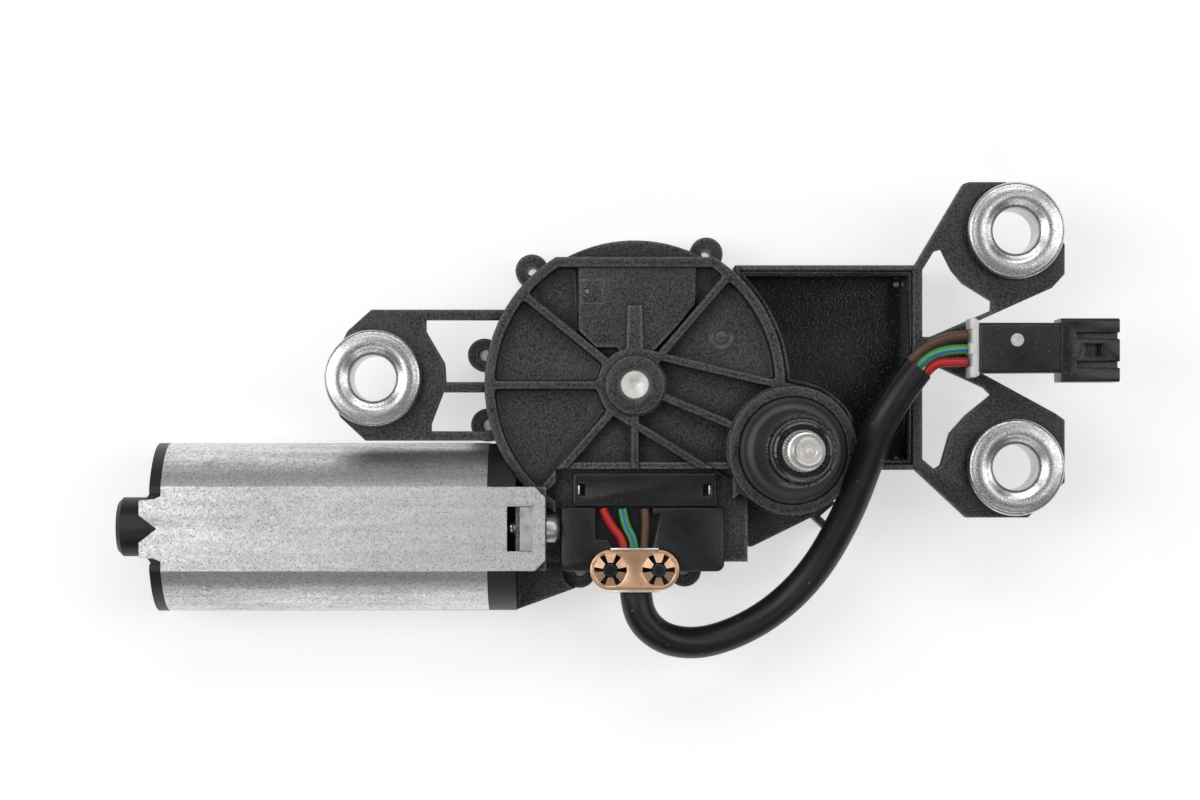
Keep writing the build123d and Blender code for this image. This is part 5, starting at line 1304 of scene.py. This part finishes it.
@dataclass
class Studio:
    """Pale floor, soft lamps and the camera straight above, in metres."""

    camera_place: Point = (-0.048, 0.00259, 0.737)
    lens: float = 85.0
    rise: float = 40 / 1200
    floor_size: float = 6.0
    floor_colour: Colour = (0.62, 0.62, 0.62)
    floor_glow: float = 0.56
    daylight: float = 0.13
    target: Point = (-0.04, 0.0, 0.03)
    lamps: tuple[Lamp, ...] = (
        Lamp("left", (-0.68, 0.12, 0.86), (0.5, 0.9), 4.2),
        Lamp("right", (0.62, 0.12, 0.86), (0.45, 0.9), 2.6),
        Lamp("back", (-0.05, 0.66, 0.86), (0.9, 0.32), 2.6),
        Lamp("front", (-0.05, -0.62, 0.9), (0.9, 0.25), 1.0))

    def build(self) -> None:
        """Set up everything that isn't the object."""
        self._floor()
        self._world()
        for lamp in self.lamps:
            lamp.hang(self.target)
        self._camera()
        bpy.context.scene.view_settings.view_transform = "Standard"

    def _camera(self) -> None:
        """The camera, raised in its frame as in the photograph."""
        camera = bpy.data.cameras.new("camera")
        camera.lens = self.lens
        camera.sensor_width = 36.0
        camera.shift_y = self.rise
        camera.clip_start = 0.01
        made = bpy.data.objects.new("camera", camera)
        made.location = self.camera_place
        bpy.context.scene.collection.objects.link(made)
        bpy.context.scene.camera = made

    def _seen(self, sheet: NodeSheet) -> Socket:
        """Return 1 for rays from the camera and those that mirrors and glass send on.

        Args:
            sheet: the node sheet of the floor.

        Returns:
            The value's output.
        """
        path = sheet.node("LightPath")
        seen = sheet.math("ADD", path.outputs["Is Camera Ray"], path.outputs["Is Glossy Ray"])
        return sheet.math("ADD", seen, path.outputs["Is Transmission Ray"])

    def _floor(self) -> None:
        """A wide pale floor that keeps the shadow and reads as white."""
        bm = bmesh.new()
        bmesh.ops.create_grid(bm, x_segments=2, y_segments=2, size=self.floor_size / 2)
        mesh = bpy.data.meshes.new("floor")
        bm.to_mesh(mesh)
        bm.free()
        floor = bpy.data.objects.new("floor", mesh)
        bpy.context.scene.collection.objects.link(floor)
        material = bpy.data.materials.new("pale floor")
        material.use_nodes = True
        sheet = NodeSheet(material.node_tree)
        shader = material.node_tree.nodes["Principled BSDF"]
        sheet.fill(shader, {"Base Color": self.floor_colour, "Roughness": 0.9, "Specular IOR Level": 0.1})
        glow = sheet.node("Emission")
        sheet.feed(glow.inputs["Strength"], sheet.math("MULTIPLY", self._seen(sheet), self.floor_glow))
        both = sheet.fill(sheet.node("AddShader"), {0: shader.outputs[0], 1: glow.outputs[0]})
        sheet.feed(material.node_tree.nodes["Material Output"].inputs[0], both.outputs[0])
        mesh.materials.append(material)

    def _world(self) -> None:
        """Even daylight, white to the camera."""
        world = bpy.data.worlds.new("soft daylight")
        world.use_nodes = True
        bpy.context.scene.world = world
        sheet = NodeSheet(world.node_tree)
        back = world.node_tree.nodes["Background"]
        camera_only = sheet.node("LightPath").outputs["Is Camera Ray"]
        strength = sheet.spread(camera_only, 0.0, 1.0, self.daylight, 1.0)
        sheet.fill(back, {"Strength": strength, "Color": (1.0, 1.0, 1.0)})


def main() -> None:
    """Build the looks in order."""
    logging.basicConfig(level=logging.INFO, format="%(message)s")
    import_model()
    EffectShelf().build()
    Studio().build()
    for group in (Casting(), MotorTube(), OutputDrive(), Mountings(), CableClamp(), Loom(), InnerWorks()):
        group.build()


if __name__ == "__main__":
    main()
